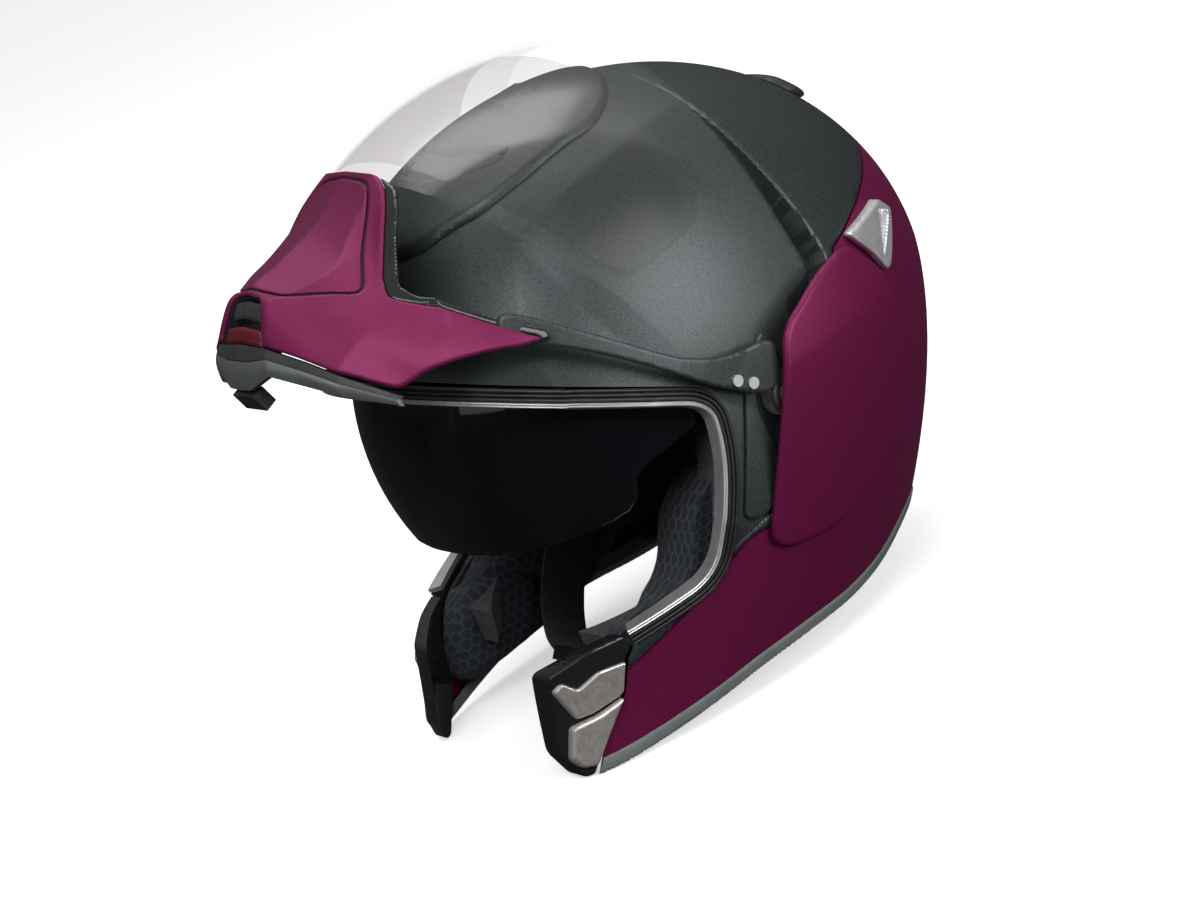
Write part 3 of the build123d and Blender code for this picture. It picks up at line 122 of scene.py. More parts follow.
# Section of the surface that the chin bar's arms and the visor sweep: half width and reach from the axis
SWEEP = [(0, 180), (20, 178.2), (45, 171), (72, 153.7), (91, 133.2), (104, 110), (112.6, 88), (117.4, 71),
         (120.2, 58), (121.6, 46), (122.1, 30), (122.2, 0)]
SWEEP_HALF, SWEEP_RADIUS = SWEEP[-1][0], SWEEP[0][1]

# Bowls turned about a cross axis: half width, radius, power, y and z of the axis
BOWLS = [(114.5, 146.0, 2.25, PIVOT_Y, PIVOT_Z), (114.5, 157.0, 2.25, -1.7, 110.6),
         (121.0, 162.3, 2.25, -10.6, 131.8), (118.0, 159.4, 2.25, -10.6, 131.8),
         (104.0, 119.0, 2.3, 0.0, 140.0)]


# Forms: negative inside, positive outside
def natural(x, y, z, grow=0.0):
    drop = np.clip((MIDDLE_Z - z) / MIDDLE_Z, 0, None)
    half = HALF_WIDTH + grow - SIDE_TUCK * drop ** SIDE_TUCK_POWER
    front = MIDDLE_Y - HALF_LENGTH - grow - FRONT_TUCK * drop ** FRONT_TUCK_POWER
    rear = MIDDLE_Y + HALF_LENGTH + grow - REAR_TUCK * drop ** REAR_TUCK_POWER
    below = np.hypot(x / half, (y - (front + rear) / 2) / ((rear - front) / 2))
    above = np.sqrt((x / (HALF_WIDTH + grow)) ** 2 + ((y - MIDDLE_Y) / (HALF_LENGTH + grow)) ** 2
                    + ((z - MIDDLE_Z) / (RISE + grow)) ** 2)
    return np.where(z < MIDDLE_Z, below, above) - 1


def bowl(half, radius, power, centre_y, centre_z):
    def form(x, y, z, grow=0.0):
        across = np.hypot(y - centre_y, z - centre_z)
        return (np.abs(x) / (half + grow)) ** power + (across / (radius + grow)) ** power - 1
    return form


sunk_rear, sunk_front, visor_form, lens_form, sun_form = (bowl(*row) for row in BOWLS)


def sunken(x, y, z, grow=0.0):
    bed = np.minimum(sunk_rear(x, y, z, grow), sunk_front(x, y, z, grow))
    return np.maximum(natural(x, y, z, grow), bed)


sweep_along, sweep_across = np.array(SWEEP[::-1]).T / [[SWEEP_HALF], [SWEEP_RADIUS]]
sweep_turn, sweep_size = np.arctan2(sweep_across, sweep_along), np.hypot(sweep_across, sweep_along)


def sweep(x, y, z, grow=0.0):
    across = np.hypot(y - PIVOT_Y, z - PIVOT_Z) / (SWEEP_RADIUS + grow)
    along = np.abs(x) / (SWEEP_HALF + grow)
    share = np.interp(np.arctan2(across, along), sweep_turn, sweep_size)
    return np.hypot(across, along) / share - 1


CAVITY_HALF, CAVITY_LENGTH, CAVITY_RISE, CAVITY_Y = 86, 108, 88, 10


def cavity(x, y, z, grow=0.0):
    """Room for the head."""
    side, depth = x / (CAVITY_HALF + grow), (y - CAVITY_Y) / (CAVITY_LENGTH + grow)
    flat = np.hypot(side, depth)
    tall = np.sqrt(side ** 2 + depth ** 2 + ((z - MIDDLE_Z) / (CAVITY_RISE + grow)) ** 2)
    return np.where(z < MIDDLE_Z, flat, tall) - 1


# Rays that a form is sampled along
def cast(form, origin, direction, grow=0.0, reach=420.0, halvings=32):
    near = np.zeros(len(direction))
    far = np.full(len(direction), reach)
    for _ in range(halvings):
        middle = (near + far) / 2
        point = origin + direction * middle[:, None]
        out = form(point[:, 0], point[:, 1], point[:, 2], grow) > 0
        far = np.where(out, middle, far)
        near = np.where(out, near, middle)
    return origin + direction * near[:, None]


def half_width(form, y, z, grow=0.0):
    """How far a form reaches to the side at points of the side view."""
    origin = np.stack([np.zeros_like(y), y, z], 1)
    return cast(form, origin, np.tile([1.0, 0, 0], (len(y), 1)), grow)[:, 0]


def grid_triangles(rows, columns, wrap=False):
    i, j = np.meshgrid(np.arange(rows - 1), np.arange(columns if wrap else columns - 1), indexing="ij")
    a, b = (i * columns + j).ravel(), (i * columns + (j + 1) % columns).ravel()
    c, d = b + columns, a + columns
    return np.concatenate([np.stack([a, b, c], 1), np.stack([a, c, d], 1)])


def ball_rays(centre, columns=420, rows=260, first=0.2, last=179.8):
    """Rays from a centre to all sides, with their poles at the left and the right."""
    turn = np.linspace(0, 2 * math.pi, columns, endpoint=False)
    lean = np.radians(np.linspace(first, last, rows))
    lean, turn = np.meshgrid(lean, turn, indexing="ij")
    direction = np.stack([np.cos(lean), np.sin(lean) * np.cos(turn), np.sin(lean) * np.sin(turn)], -1)
    direction = direction.reshape(-1, 3)
    origin = np.tile(np.array(centre, float), (len(direction), 1))
    return origin, direction, grid_triangles(rows, columns, True)


def flat_rays(line, step, facing, depth=0.0, margin=3.0):
    """Parallel rays over the box round an outline. Facing is x, y or z."""
    points = np.array(line, float)
    (u0, v0), (u1, v1) = points.min(0) - margin, points.max(0) + margin
    us, vs = np.arange(u0, u1 + step, step), np.arange(v0, v1 + step, step)
    v, u = np.meshgrid(vs, us, indexing="ij")
    u, v, fixed = u.ravel(), v.ravel(), np.full(u.size, depth)
    order, direction = {"x": ((fixed, u, v), (1, 0, 0)), "y": ((u, fixed, v), (0, 1, 0)),
                        "z": ((u, v, fixed), (0, 0, 1))}[facing]
    origin = np.stack(order, 1)
    return origin, np.tile(np.array(direction, float), (len(origin), 1)), grid_triangles(len(vs), len(us))


# Outlines
def inside(line, u, v):
    """Distance inside a closed outline, negative outside."""
    start = np.asarray(line, float)
    end = np.roll(start, -1, 0)
    best = np.full(u.shape, 1e9)
    odd = np.zeros(u.shape, bool)
    for (u0, v0), (u1, v1) in zip(start, end):
        du, dv = u1 - u0, v1 - v0
        length = du * du + dv * dv
        if length < 1e-12:
            continue
        t = np.clip(((u - u0) * du + (v - v0) * dv) / length, 0, 1)
        best = np.minimum(best, np.hypot(u - u0 - t * du, v - v0 - t * dv))
        if v0 != v1:
            odd ^= ((v0 > v) != (v1 > v)) & (u < u0 + (v - v0) * du / dv)
    return np.where(odd, best, -best)


def side_in(line):
    return lambda p: inside(line, p[:, 1], p[:, 2])


def side_out(line, reach=0.0):
    return lambda p: -inside(line, p[:, 1], p[:, 2]) - reach


def plan_in(line):
    return lambda p: inside(line, p[:, 0], p[:, 1])


def both(line):
    """Half outline with its mirrored half."""
    return line + [(-x, other) for x, other in reversed(line) if x > 0]


def filleted(line, radius, steps=7, most=0.48, loop=True):
    """Line with each corner turned into a curve that starts up to radius away from it."""
    points = [Vector(p) for p in line]
    made = []
    for k, corner in enumerate(points):
        if not loop and k in (0, len(points) - 1):
            made.append(corner)
            continue
        before, after = points[k - 1] - corner, points[(k + 1) % len(points)] - corner
        one = corner + before.normalized() * min(radius, before.length * most)
        two = corner + after.normalized() * min(radius, after.length * most)
        for step in range(steps):
            t = step / (steps - 1)
            made.append(one * (1 - t) ** 2 + corner * 2 * t * (1 - t) + two * t * t)
    return [tuple(p) for p in made]


def smooth_between(places, values, wanted):
    """Smooth curve through values given at places."""
    slope = np.gradient(values, places, axis=0)
    k = np.clip(np.searchsorted(places, wanted) - 1, 0, len(places) - 2)
    wide = (places[k + 1] - places[k])[:, None]
    t = (wanted - places[k])[:, None] / wide
    return ((2 * t ** 3 - 3 * t ** 2 + 1) * values[k] + (t ** 3 - 2 * t ** 2 + t) * wide * slope[k]
            + (3 * t ** 2 - 2 * t ** 3) * values[k + 1] + (t ** 3 - t ** 2) * wide * slope[k + 1])


# Meshes. A row of points holds an outer point, an inner point, its way inside and the values it is cut by
FIRST_VALUE = 7


def clip(points, triangles, value):
    """The part of a mesh where value is positive. Points carry further columns along."""
    keep = value > 0
    count = keep[triangles].sum(1)
    whole = [tuple(t) for t in triangles[count == 3]]
    made, extra, seen = [], [], {}

    def cut(a, b):
        key = (a, b) if a < b else (b, a)
        if key not in seen:
            share = value[a] / (value[a] - value[b])
            extra.append(points[a] * (1 - share) + points[b] * share)
            seen[key] = len(points) + len(extra) - 1
        return seen[key]

    for t in triangles[(count == 1) | (count == 2)]:
        t = [int(k) for k in t]
        while not (keep[t[0]] and not keep[t[2]]):
            t = t[1:] + t[:1]
        a, b, c = t
        if keep[b]:
            one, two = cut(b, c), cut(a, c)
            made += [(a, b, one), (a, one, two)]
        else:
            made.append((a, cut(a, b), cut(a, c)))
    points = np.concatenate([points, np.array(extra)]) if extra else points
    triangles = np.array(whole + made)
    used, back = np.unique(triangles, return_inverse=True)
    return points[used], back.reshape(-1, 3)


def trimmed(points, triangles):
    """The part of a mesh where all its values are positive."""
    for k in range(FIRST_VALUE, points.shape[1]):
        points, triangles = clip(points, triangles, points[:, k])
    return points, triangles


def closed(points, triangles):
    """Vertices and faces of the closed solid between the two skins."""
    count = len(points)
    edges = np.concatenate([triangles[:, [0, 1]], triangles[:, [1, 2]], triangles[:, [2, 0]]])
    key = edges.min(1).astype(np.int64) * count + edges.max(1)
    _, first, times = np.unique(key, return_index=True, return_counts=True)
    rim = edges[first[times == 1]]
    faces = [tuple(t) for t in triangles]
    faces += [tuple(t[::-1] + count) for t in triangles]
    faces += [(b, a, a + count, b + count) for a, b in rim]
    vertices = np.concatenate([points[:, :3], points[:, 3:6]])
    return vertices, faces, np.tile(points[:, 6], 2)


def linked(name, data):
    """New object in the scene."""
    obj = bpy.data.objects.new(name, data)
    bpy.context.scene.collection.objects.link(obj)
    return obj


def mesh_object(name, points, faces, inset=None):
    mesh = bpy.data.meshes.new(name)
    placed = (np.asarray(points) + np.array([0, SHIFT, 0])) * MILLIMETRE
    mesh.from_pydata(placed.tolist(), [], [tuple(int(k) for k in f) for f in faces])
    mesh.update()
    mesh.shade_smooth()
    mesh.set_sharp_from_angle(angle=SHARP)
    if inset is not None:
        held = mesh.attributes.new("inset", "FLOAT", "POINT")
        held.data.foreach_set("value", np.asarray(inset, np.float32))
    return linked(name, mesh)


def rounded_off(nearest, edge):
    """How far a surface sinks on its way to an edge of that rounding."""
    short = np.clip(edge - nearest, 0, edge)
    return edge - np.sqrt(edge ** 2 - short ** 2)


def layer(name, rays, form, top, bottom, outlines, edge=0.0, relief=None):
    """Solid between two offsets of a form, cut to the outlines."""
    origin, direction, triangles = rays
    outer = cast(form, origin, direction, top)
    values = np.stack([f(outer) for f in outlines], 1)
    grow = np.full(len(outer), float(top))
    nearest = values.min(1)
    if edge:
        grow -= rounded_off(nearest, edge)
    if relief is not None:
        grow += relief(outer)
    if edge or relief is not None:
        outer = cast(form, origin, direction, grow)
    inner = cast(form, origin, direction, bottom(outer) if callable(bottom) else bottom)
    points, triangles = trimmed(np.concatenate([outer, inner, nearest[:, None], values], 1), triangles)
    a, b, c = (points[triangles[:, k], :3] for k in range(3))
    facing = np.einsum("ij,ij->i", np.cross(b - a, c - a), (a + b + c) / 3 - origin.mean(0))
    if np.median(facing) < 0:
        triangles = triangles[:, ::-1]
    return mesh_object(name, *closed(points, triangles))


def tube(name, rings, turned=False):
    """Closed mesh over rings of points. Turned takes rings that run the other way round."""
    count, size = rings.shape[:2]
    faces = []
    for i in range(count - 1):
        for j in range(size):
            a, b = i * size + j, i * size + (j + 1) % size
            faces.append((a, a + size, b + size, b) if turned else (a, b, b + size, a + size))
    first, last = tuple(range(size)), tuple(range((count - 1) * size, count * size))
    faces += [first, last[::-1]] if turned else [first[::-1], last]
    return mesh_object(name, rings.reshape(-1, 3), faces)


def mirrored(obj, name):
    mesh = obj.data.copy()
    mesh.name = name
    mesh.transform(Matrix.Scale(-1, 4, (1, 0, 0)))
    mesh.flip_normals()
    return linked(name, mesh)


def joined(name, *objects):
    """One object out of several."""
    with bpy.context.temp_override(active_object=objects[0], selected_editable_objects=list(objects)):
        bpy.ops.object.join()
    objects[0].name = name
    return objects[0]


# Shell
SPLIT_FILLET, SUNK_FILLET, PORT_FILLET, CHEEK_FILLET, RIM_FILLET = 14, 16, 12, 3, 10
split_low = filleted([(y, z - SEAM_GAP) for y, z in SPLIT_LINE], SPLIT_FILLET, loop=False)
split_low += [(170, -20), (-200, -20), (-200, 39)]
split_high = filleted(SPLIT_LINE, SPLIT_FILLET, loop=False) + [(170, 320), (-200, 320), (-200, 40)]
sunk, port = filleted(SUNK_LINE, SUNK_FILLET), filleted(PORT_LINE, PORT_FILLET)
cheek = filleted(CHEEK_LINE, CHEEK_FILLET)
rim_y, rim_z = np.array(filleted(RIM_LINE, RIM_FILLET, loop=False)).T
NAPE_HALF, NAPE_FLARE, NAPE_TOP, NAPE_FRONT, NAPE_SLOPE = 20, 42, 34, 55, 0.63


def above_rim(lift):
    """Height over the lower rim, with the lip at the nape."""
    def value(p):
        over = p[:, 2] - np.interp(p[:, 1], rim_y, rim_z) - lift
        reach = NAPE_HALF + NAPE_FLARE * (p[:, 2] - lift) / (NAPE_TOP - lift)
        lip = np.minimum(p[:, 2] - lift, (reach - np.abs(p[:, 0])) * NAPE_SLOPE)
        return np.maximum(over, np.minimum(lip, p[:, 1] - NAPE_FRONT))
    return value


def below_rim(lift):
    above = above_rim(lift)
    return lambda p: -above(p)


def shell_bottom(p):
    """Deep wall beside the step, so that the step is closed."""
    return np.where(np.abs(inside(sunk, p[:, 1], p[:, 2])) < STEP_REACH, -STEP_WALL, -SHELL_WALL)


shell_rays, rim_rays = ball_rays((0, 8, 126), 480, 300), ball_rays((0, 8, 90), 840, 420)
port_out = side_out(port, PORT_REACH)
dome = layer("upper_shell_dome", shell_rays, natural, 0, shell_bottom,
             [side_in(split_high), port_out, side_out(cheek), side_out(sunk)], DOME_EDGE)
bed = layer("upper_shell_bed", shell_rays, sunken, 0, -SHELL_WALL,
            [side_in(split_high), port_out, side_out(cheek), side_in(sunk)])
upper = joined("upper_shell_skin", dome, bed)
lower = layer("lower_shell_skin", shell_rays, natural, 0, -SHELL_WALL,
              [side_in(split_low), port_out, side_out(cheek), above_rim(RUBBER_HEIGHT)])
trim = layer("rim_trim_skin", rim_rays, natural, RIM_TOP, -RIM_WALL,
             [above_rim(0), below_rim(RUBBER_HEIGHT - RUBBER_LAP), side_out(cheek)], RIM_EDGE)


# Side covers, panels, trims and cheek ends
def notch_relief(p, depth=2.2, slope=0.7):
    """Sunken triangle in the corner trim."""
    return -depth * np.clip(inside(notch_line, p[:, 1], p[:, 2]) / slope, 0, 1)


notch_line = filleted(CORNER_NOTCH, 2)
# Outline, its fillet, step of the rays, form, outer and inner offset, rounding and, for one, its relief
SIDE_PIECES = {
    "side_cover": (COVER_LINE, 9, 0.8, natural, 4.2, 1.2, 1.8),
    "strip_panel": (STRIP_LINE, 5, 0.6, sunken, 2.1, 0.2, 0.8),
    "corner_trim": (CORNER_LINE, 2.5, 0.5, natural, 5.4, 0.4, 1.4, notch_relief),
    "cheek_bezel": (BEZEL_LINE, 3, 0.6, natural, 0, -8, 1.6),
    "latch_plate": (PLATE_LINE, 1.6, 0.4, natural, 1.6, -4.6, 1.0),
    "striker": (STRIKER_LINE, 2, 0.4, natural, 3.0, -4.6, 1.8)}
side_pieces = {}
for name, (line, radius, step, form, top, bottom, *more) in SIDE_PIECES.items():
    line = filleted(line, radius)
    side_pieces[name] = layer(f"left_{name}_skin", flat_rays(line, step, "x"), form, top, bottom,
                              [side_in(line)], *more)
arm_line = filleted(ARM_LINE, 12)


def from_hub(p):
    return np.hypot(p[:, 1] - PIVOT_Y, p[:, 2] - PIVOT_Z)


def hub_out(p):
    return from_hub(p) - HUB_RADIUS


def arm_value(p):
    return np.maximum(inside(arm_line, p[:, 1], p[:, 2]), ARM_EYE - from_hub(p))


ARM_FOOT = (20, 118)
side_pieces["arm"] = layer("left_arm_skin", flat_rays(ARM_LINE + [ARM_FOOT], 0.8, "x"), sweep, ARM_TOP,
                           ARM_BOTTOM, [arm_value, hub_out], ARM_EDGE)

# Vents
TRACK_HALF, TRACK_FRONT, TRACK_REAR, TRACK_DEPTH = 10.4, -16.6, 12.4, 1.6
SLOT_HALF, SLOT_RISE, SLOT_Z = 22, 2.5, 222
vent_line, mouth_line = filleted(both(VENT_HALF), 9), filleted(both(MOUTH_HALF), 3)
rear_line = filleted(REAR_LINE, 5)


def vent_relief(p, slope=0.5):
    """Track that the vent's slider runs in."""
    track = np.minimum(TRACK_HALF - np.abs(p[:, 0]), np.minimum(p[:, 1] - TRACK_FRONT, TRACK_REAR - p[:, 1]))
    return -TRACK_DEPTH * np.clip(track / slope, 0, 1)


def rear_slot(p):
    return np.maximum(np.abs(p[:, 0]) - SLOT_HALF, np.abs(p[:, 2] - SLOT_Z) - SLOT_RISE)


vent = layer("top_vent_skin", flat_rays(vent_line, 0.8, "z", MIDDLE_Z), natural, VENT_TOP, VENT_BOTTOM,
             [plan_in(vent_line), lambda p: -inside(mouth_line, p[:, 0], p[:, 1])], VENT_EDGE, vent_relief)
# Painted shade: a thin matte black sheet laid on the shell inside the vent's mouth stands for the shade in
# the opening
mouth_shade_sheet = layer("vent_mouth_painted_shade", flat_rays(mouth_line, 0.8, "z", MIDDLE_Z), natural, MOUTH_TOP,
                    MOUTH_BOTTOM, [plan_in(mouth_line)])
rear = layer("rear_vent_skin", flat_rays(rear_line, 0.7, "y", MIDDLE_Y), natural, REAR_TOP, REAR_BOTTOM,
             [lambda p: inside(rear_line, p[:, 0], p[:, 2]), rear_slot], REAR_EDGE)

# Chin bar: one surface over columns and levels, in its closed place, then turned up
# Each height has the side and the front, x and y, of its columns from the middle line outwards:
# middle, crease, corner of the nose, border, wing, tip
CHIN_LEVELS = {
    98: [(0, -166.9), (20, -165.4), (27, -163.4), (29, -162.6), (46, -158), (112, -108)],
    84: [(0, -164.2), (24, -161.4), (33, -158.8), (38, -157.6), (50, -153.4), (112, -98)],
    67: [(0, -162.8), (28, -158.6), (40.5, -151.8), (45.8, -149.6), (62, -141.6), (112, -87)],
    54: [(0, -164.5), (33, -157), (49, -145.6), (56, -141.6), (82, -120), (112, -87)],
    42: [(0, -166.2), (30, -159.5), (53, -143.6), (60, -138.6), (82, -119), (112, -84)],
    32: [(0, -168.4), (24, -162), (50, -145.6), (60, -138.4), (80, -118), (112, -80)],
    24: [(0, -168.2), (18, -165.6), (44, -147.4), (58, -138.4), (78, -115.5), (112, -75)],
    14: [(0, -163), (21, -160), (40, -148.6), (57, -137), (77, -112), (112, -70)],
    4: [(0, -154.5), (22, -153), (40, -144.6), (56, -132.5), (75, -107), (112, -64)]}
# Outlines from the front, as x and z
NOSE_LINE = [(0, 100), (14, 99.6), (22, 98.8), (28.5, 95.5), (32.5, 92), (38, 84.4), (45.8, 67.4), (51, 57),
             (58, 50.8), (106.5, 70), (74, 19.6), (56, 11.4), (22, 7.6), (0, 7.2)]
PANEL_LINE = [(0, 94.6), (16, 94.2), (22.5, 91.4), (29, 80.5), (36.8, 64), (48.5, 47.2), (22, 30.4),
              (0, 28.6)]
ARCH_LINE = [(0, 25.6), (10.5, 25.4), (13.6, 22.6), (18.6, 9.8), (19.4, 3), (0, 3)]
WING_LINE = [(10, 98), (29, 97.5), (37, 95), (43.5, 87), (51.5, 69), (57.5, 58), (65, 57), (107.5, 73.6),
             (109, 70.4), (58, 50), (50, 54), (36, 80), (26, 90)]
FLAP_LINE = [(-13.4, 15.6), (-11.8, 23.6), (11.8, 23.6), (13.4, 15.6)]
SHUTTER_LINE = [(-17.2, 7.0), (-15.6, 12.6), (15.6, 12.6), (17.2, 7.0)]
CHIN_STEP, CHIN_LOW, CHIN_HIGH, CHIN_SIDE = 0.7, 4, 98.2, 110.5
WALL_TOP, PADDING_TOP = 74, 60
SKIN, GROOVE, NOSE_EDGE, PANEL_EDGE = 1.7, 0.45, 1.1, 0.4

level_heights = np.array(sorted(CHIN_LEVELS), float)
level_table = np.array([CHIN_LEVELS[k] for k in sorted(CHIN_LEVELS)], float)
chin_rows, chin_wide = np.arange(CHIN_LOW, CHIN_HIGH, CHIN_STEP), np.arange(0, CHIN_SIDE, CHIN_STEP)
widths, fronts = (smooth_between(level_heights, level_table[:, :, k], chin_rows) for k in (0, 1))
chin_front = np.array([np.interp(chin_wide, w, f) for w, f in zip(widths, fronts)])
for _ in range(2):
    eased_front = np.pad(chin_front, ((0, 0), (1, 1)), mode="edge")
    eased_front[:, 0] = chin_front[:, 1]
    chin_front = (eased_front[:, :-2] + 2 * chin_front + eased_front[:, 2:]) / 4
x_grid, z_grid = np.meshgrid(np.concatenate([-chin_wide[:0:-1], chin_wide]), chin_rows)
y_grid = np.concatenate([chin_front[:, :0:-1], chin_front], 1)
across_x, across_z = np.gradient(y_grid, axis=1) / CHIN_STEP, np.gradient(y_grid, axis=0) / CHIN_STEP
chin_normal = np.stack([across_x, -np.ones_like(y_grid), across_z], -1)
chin_normal /= np.linalg.norm(chin_normal, axis=-1)[..., None]
chin_skin = np.stack([x_grid, y_grid, z_grid], -1).reshape(-1, 3)
chin_normal = chin_normal.reshape(-1, 3)
chin_triangles = grid_triangles(len(chin_rows), x_grid.shape[1])


def turned_up(points):
    """Points of the closed chin bar taken to its raised place."""
    y, z = points[:, 1] - PIVOT_Y, points[:, 2] - PIVOT_Z
    sine, cosine = math.sin(OPEN), math.cos(OPEN)
    return np.stack([points[:, 0], PIVOT_Y + y * cosine + z * sine, PIVOT_Z - y * sine + z * cosine], 1)


def chin_piece(name, top, bottom, outlines, edge=0.0):
    """Solid between two depths under the chin surface, cut to outlines seen from the front."""
    values = np.stack([f(chin_skin[:, 0], chin_skin[:, 2]) for f in outlines], 1)
    nearest = values.min(1)
    depth = top + (rounded_off(nearest, edge) if edge else 0 * nearest)
    outer = chin_skin - chin_normal * depth[:, None]
    inner = chin_skin - chin_normal * bottom
    points = np.concatenate([outer, inner, nearest[:, None], values], 1)
    vertices, faces, inset = closed(*trimmed(points, chin_triangles))
    return mesh_object(name, turned_up(vertices), faces, inset)


def front_in(line, grow=0.0):
    return lambda x, z: inside(line, x, z) + grow


def front_out(line, grow=0.0):
    return lambda x, z: -inside(line, x, z) - grow


nose_line, panel_line = filleted(both(NOSE_LINE), 2.2), filleted(both(PANEL_LINE), 5)
arch_line, wing_line = filleted(both(ARCH_LINE), 3), filleted(WING_LINE, 3)
chin_ring = chin_piece("chin_ring", 0, SKIN,
                       [front_in(nose_line), front_out(panel_line, GROOVE), front_out(arch_line)], NOSE_EDGE)
chin_panel = chin_piece("chin_panel", 0, SKIN, [front_in(panel_line, -GROOVE)], PANEL_EDGE)
chin_bar = joined("chin_bar_skin", chin_ring, chin_panel)
nose_groove = chin_piece("nose_groove", 1.0, SKIN,
                         [front_in(panel_line, 2 * GROOVE), front_out(panel_line, -2 * GROOVE)])
chin_frame = chin_piece("chin_bar_inner_wall", 1.8, 3.4,
                        [front_in(nose_line, -1.2), front_out(arch_line), lambda x, z: WALL_TOP - z])
chin_foam = chin_piece("chin_bar_padding", 3.6, 13,
                       [front_in(nose_line, -4), front_out(arch_line, 4), lambda x, z: PADDING_TOP - z])
wing = chin_piece("left_nose_wing_skin", 1.0, 2.6, [front_in(wing_line), front_out(nose_line, 0.25)], 0.6)
recess = chin_piece("chin_vent_recess", 8.5, 10, [front_in(arch_line, 2.5)])
recess_walls = chin_piece("chin_vent_walls", 1.2, 9, [front_in(arch_line, 1.2), front_out(arch_line)])
flap = chin_piece("chin_vent_flap", 2.4, 4.6, [front_in(filleted(FLAP_LINE, 1.5))], 0.8)
vent_tray = joined("chin_vent_recess", recess, recess_walls, flap)
shutter = chin_piece("chin_vent_shutter_skin", 1.4, 4.0, [front_in(filleted(SHUTTER_LINE, 1.2))], 0.9)

# Lip under the chin bar: a facetted band that runs back below the edge, as x, y and z
LIP_UPPER = [(0, -156.6, 7.0), (22, -154.6, 7.2), (40, -145.4, 9.2), (56, -134.6, 11.2), (72, -114.8, 18.4)]
LIP_LOWER = [(0, -143, -7.4), (9, -143, -7.0), (24, -146.6, -1.2), (56, -128.2, 5.6), (72, -111.4, 15.6)]
LIP_ROWS = 12
LIP_SWELL, LIP_BACK = np.array([0, -0.9, -0.9]), np.array([0, 0.8, 0.6])


def lip_edge(line):
    """Edge of the lip over both sides."""
    places = np.array(line, float)
    span = np.linspace(0, places[-1, 0], 73)
    half = np.stack([np.interp(span, places[:, 0], places[:, k]) for k in range(3)], 1)
    return np.concatenate([half[:0:-1] * [-1, 1, 1], half])


def lip_band(name, start, stop, thick=2.4):
    """Part of the lip between two shares of its width."""
    upper, lower = lip_edge(LIP_UPPER), lip_edge(LIP_LOWER)
    outer = np.concatenate([upper + (lower - upper) * share + LIP_SWELL * math.sin(math.pi * share)
                            for share in np.linspace(start, stop, LIP_ROWS)])
    points = np.concatenate([outer, outer + LIP_BACK * thick, np.ones((len(outer), 1))], 1)
    vertices, faces, inset = closed(points, grid_triangles(LIP_ROWS, len(upper))[:, ::-1])
    return mesh_object(name, turned_up(vertices), faces, inset)


lip_black = lip_band("chin_lip_band", 0, 0.34)
lip_grey = lip_band("chin_lip_skin", 0.36, 1.0)
BUTTON_FRONT, BUTTON_REAR, BUTTON_LOW, BUTTON_HIGH, BUTTON_HALF = -140.0, -131.0, -8.4, -2.0, 10.0
button_places = [(x, y, z) for x in (-BUTTON_HALF, BUTTON_HALF) for y in (BUTTON_FRONT, BUTTON_REAR)
                 for z in (BUTTON_LOW, BUTTON_HIGH)]
button = mesh_object("release_button_skin", turned_up(np.array(button_places)),
                     [(0, 1, 3, 2), (4, 6, 7, 5), (0, 4, 5, 1), (2, 3, 7, 6), (0, 2, 6, 4), (1, 5, 7, 3)])

# Visors
VISOR_CENTRE = (0, *BOWLS[2][3:])
visor_line = filleted(VISOR_LINE, 6)


def visor_value(p):
    sheet = np.maximum(inside(visor_line, p[:, 1], p[:, 2]), VISOR_EYE - from_hub(p))
    return np.maximum(sheet, inside(EAR_LINE, p[:, 1], p[:, 2]))


visor = layer("clear_visor_skin", ball_rays(VISOR_CENTRE, 480, 300, 0.4, 179.6), visor_form, 0, -VISOR_WALL,
              [visor_value, hub_out], VISOR_EDGE)
lens = layer("fog_lens_skin", ball_rays(VISOR_CENTRE, 360, 220), lens_form, 0, -LENS_WALL,
             [side_in(filleted(LENS_LINE, 16))])
shade = layer("sun_visor_skin", ball_rays((0, *BOWLS[4][3:]), 400, 240), sun_form, 0, -SHADE_WALL,
              [side_in(filleted(SUN_LINE, 7))], SHADE_EDGE)

# Seal round the face opening: a profile carried along the edge, finely sampled near the middle
FINE_RUN, FINE_STEPS, COARSE_STEPS, SEAL_STEPS = 40, 4000, 600, 520
MIDDLE_HALF = 0.3


def normals(points, step=0.5):
    value = [sunken(*(points + shift).T) for shift in np.eye(3) * step]
    base = sunken(*points.T)
    normal = np.stack([v - base for v in value], 1)
    return normal / np.linalg.norm(normal, axis=1)[:, None]


def run_of(points):
    """Way along a line to each of its points."""
    return np.concatenate([[0], np.cumsum(np.linalg.norm(np.diff(points, axis=0), axis=1))])


edge_line = np.array(filleted(EDGE_LINE, 12, loop=False))
length = run_of(edge_line)
fine = np.concatenate([np.linspace(0, FINE_RUN, FINE_STEPS),
                       np.linspace(FINE_RUN, length[-1], COARSE_STEPS)[1:]])
edge_y, edge_z = np.interp(fine, length, edge_line[:, 0]), np.interp(fine, length, edge_line[:, 1])
edge_x = half_width(sunken, edge_y, edge_z)
half = np.stack([edge_x, edge_y, edge_z], 1)[np.argmax(edge_x > MIDDLE_HALF):]
half[0, 0] = 0
whole = np.concatenate([half[::-1], half[1:] * [-1, 1, 1]])
run = run_of(whole)
even = np.linspace(0, run[-1], SEAL_STEPS)
course = np.stack([np.interp(even, run, whole[:, k]) for k in range(3)], 1)
tangent = np.gradient(course, axis=0)
tangent /= np.linalg.norm(tangent, axis=1)[:, None]
upward = normals(course)
outward = np.cross(tangent, upward)
if np.dot(outward[len(outward) // 2], (0, 0, 1)) < 0:
    outward = -outward


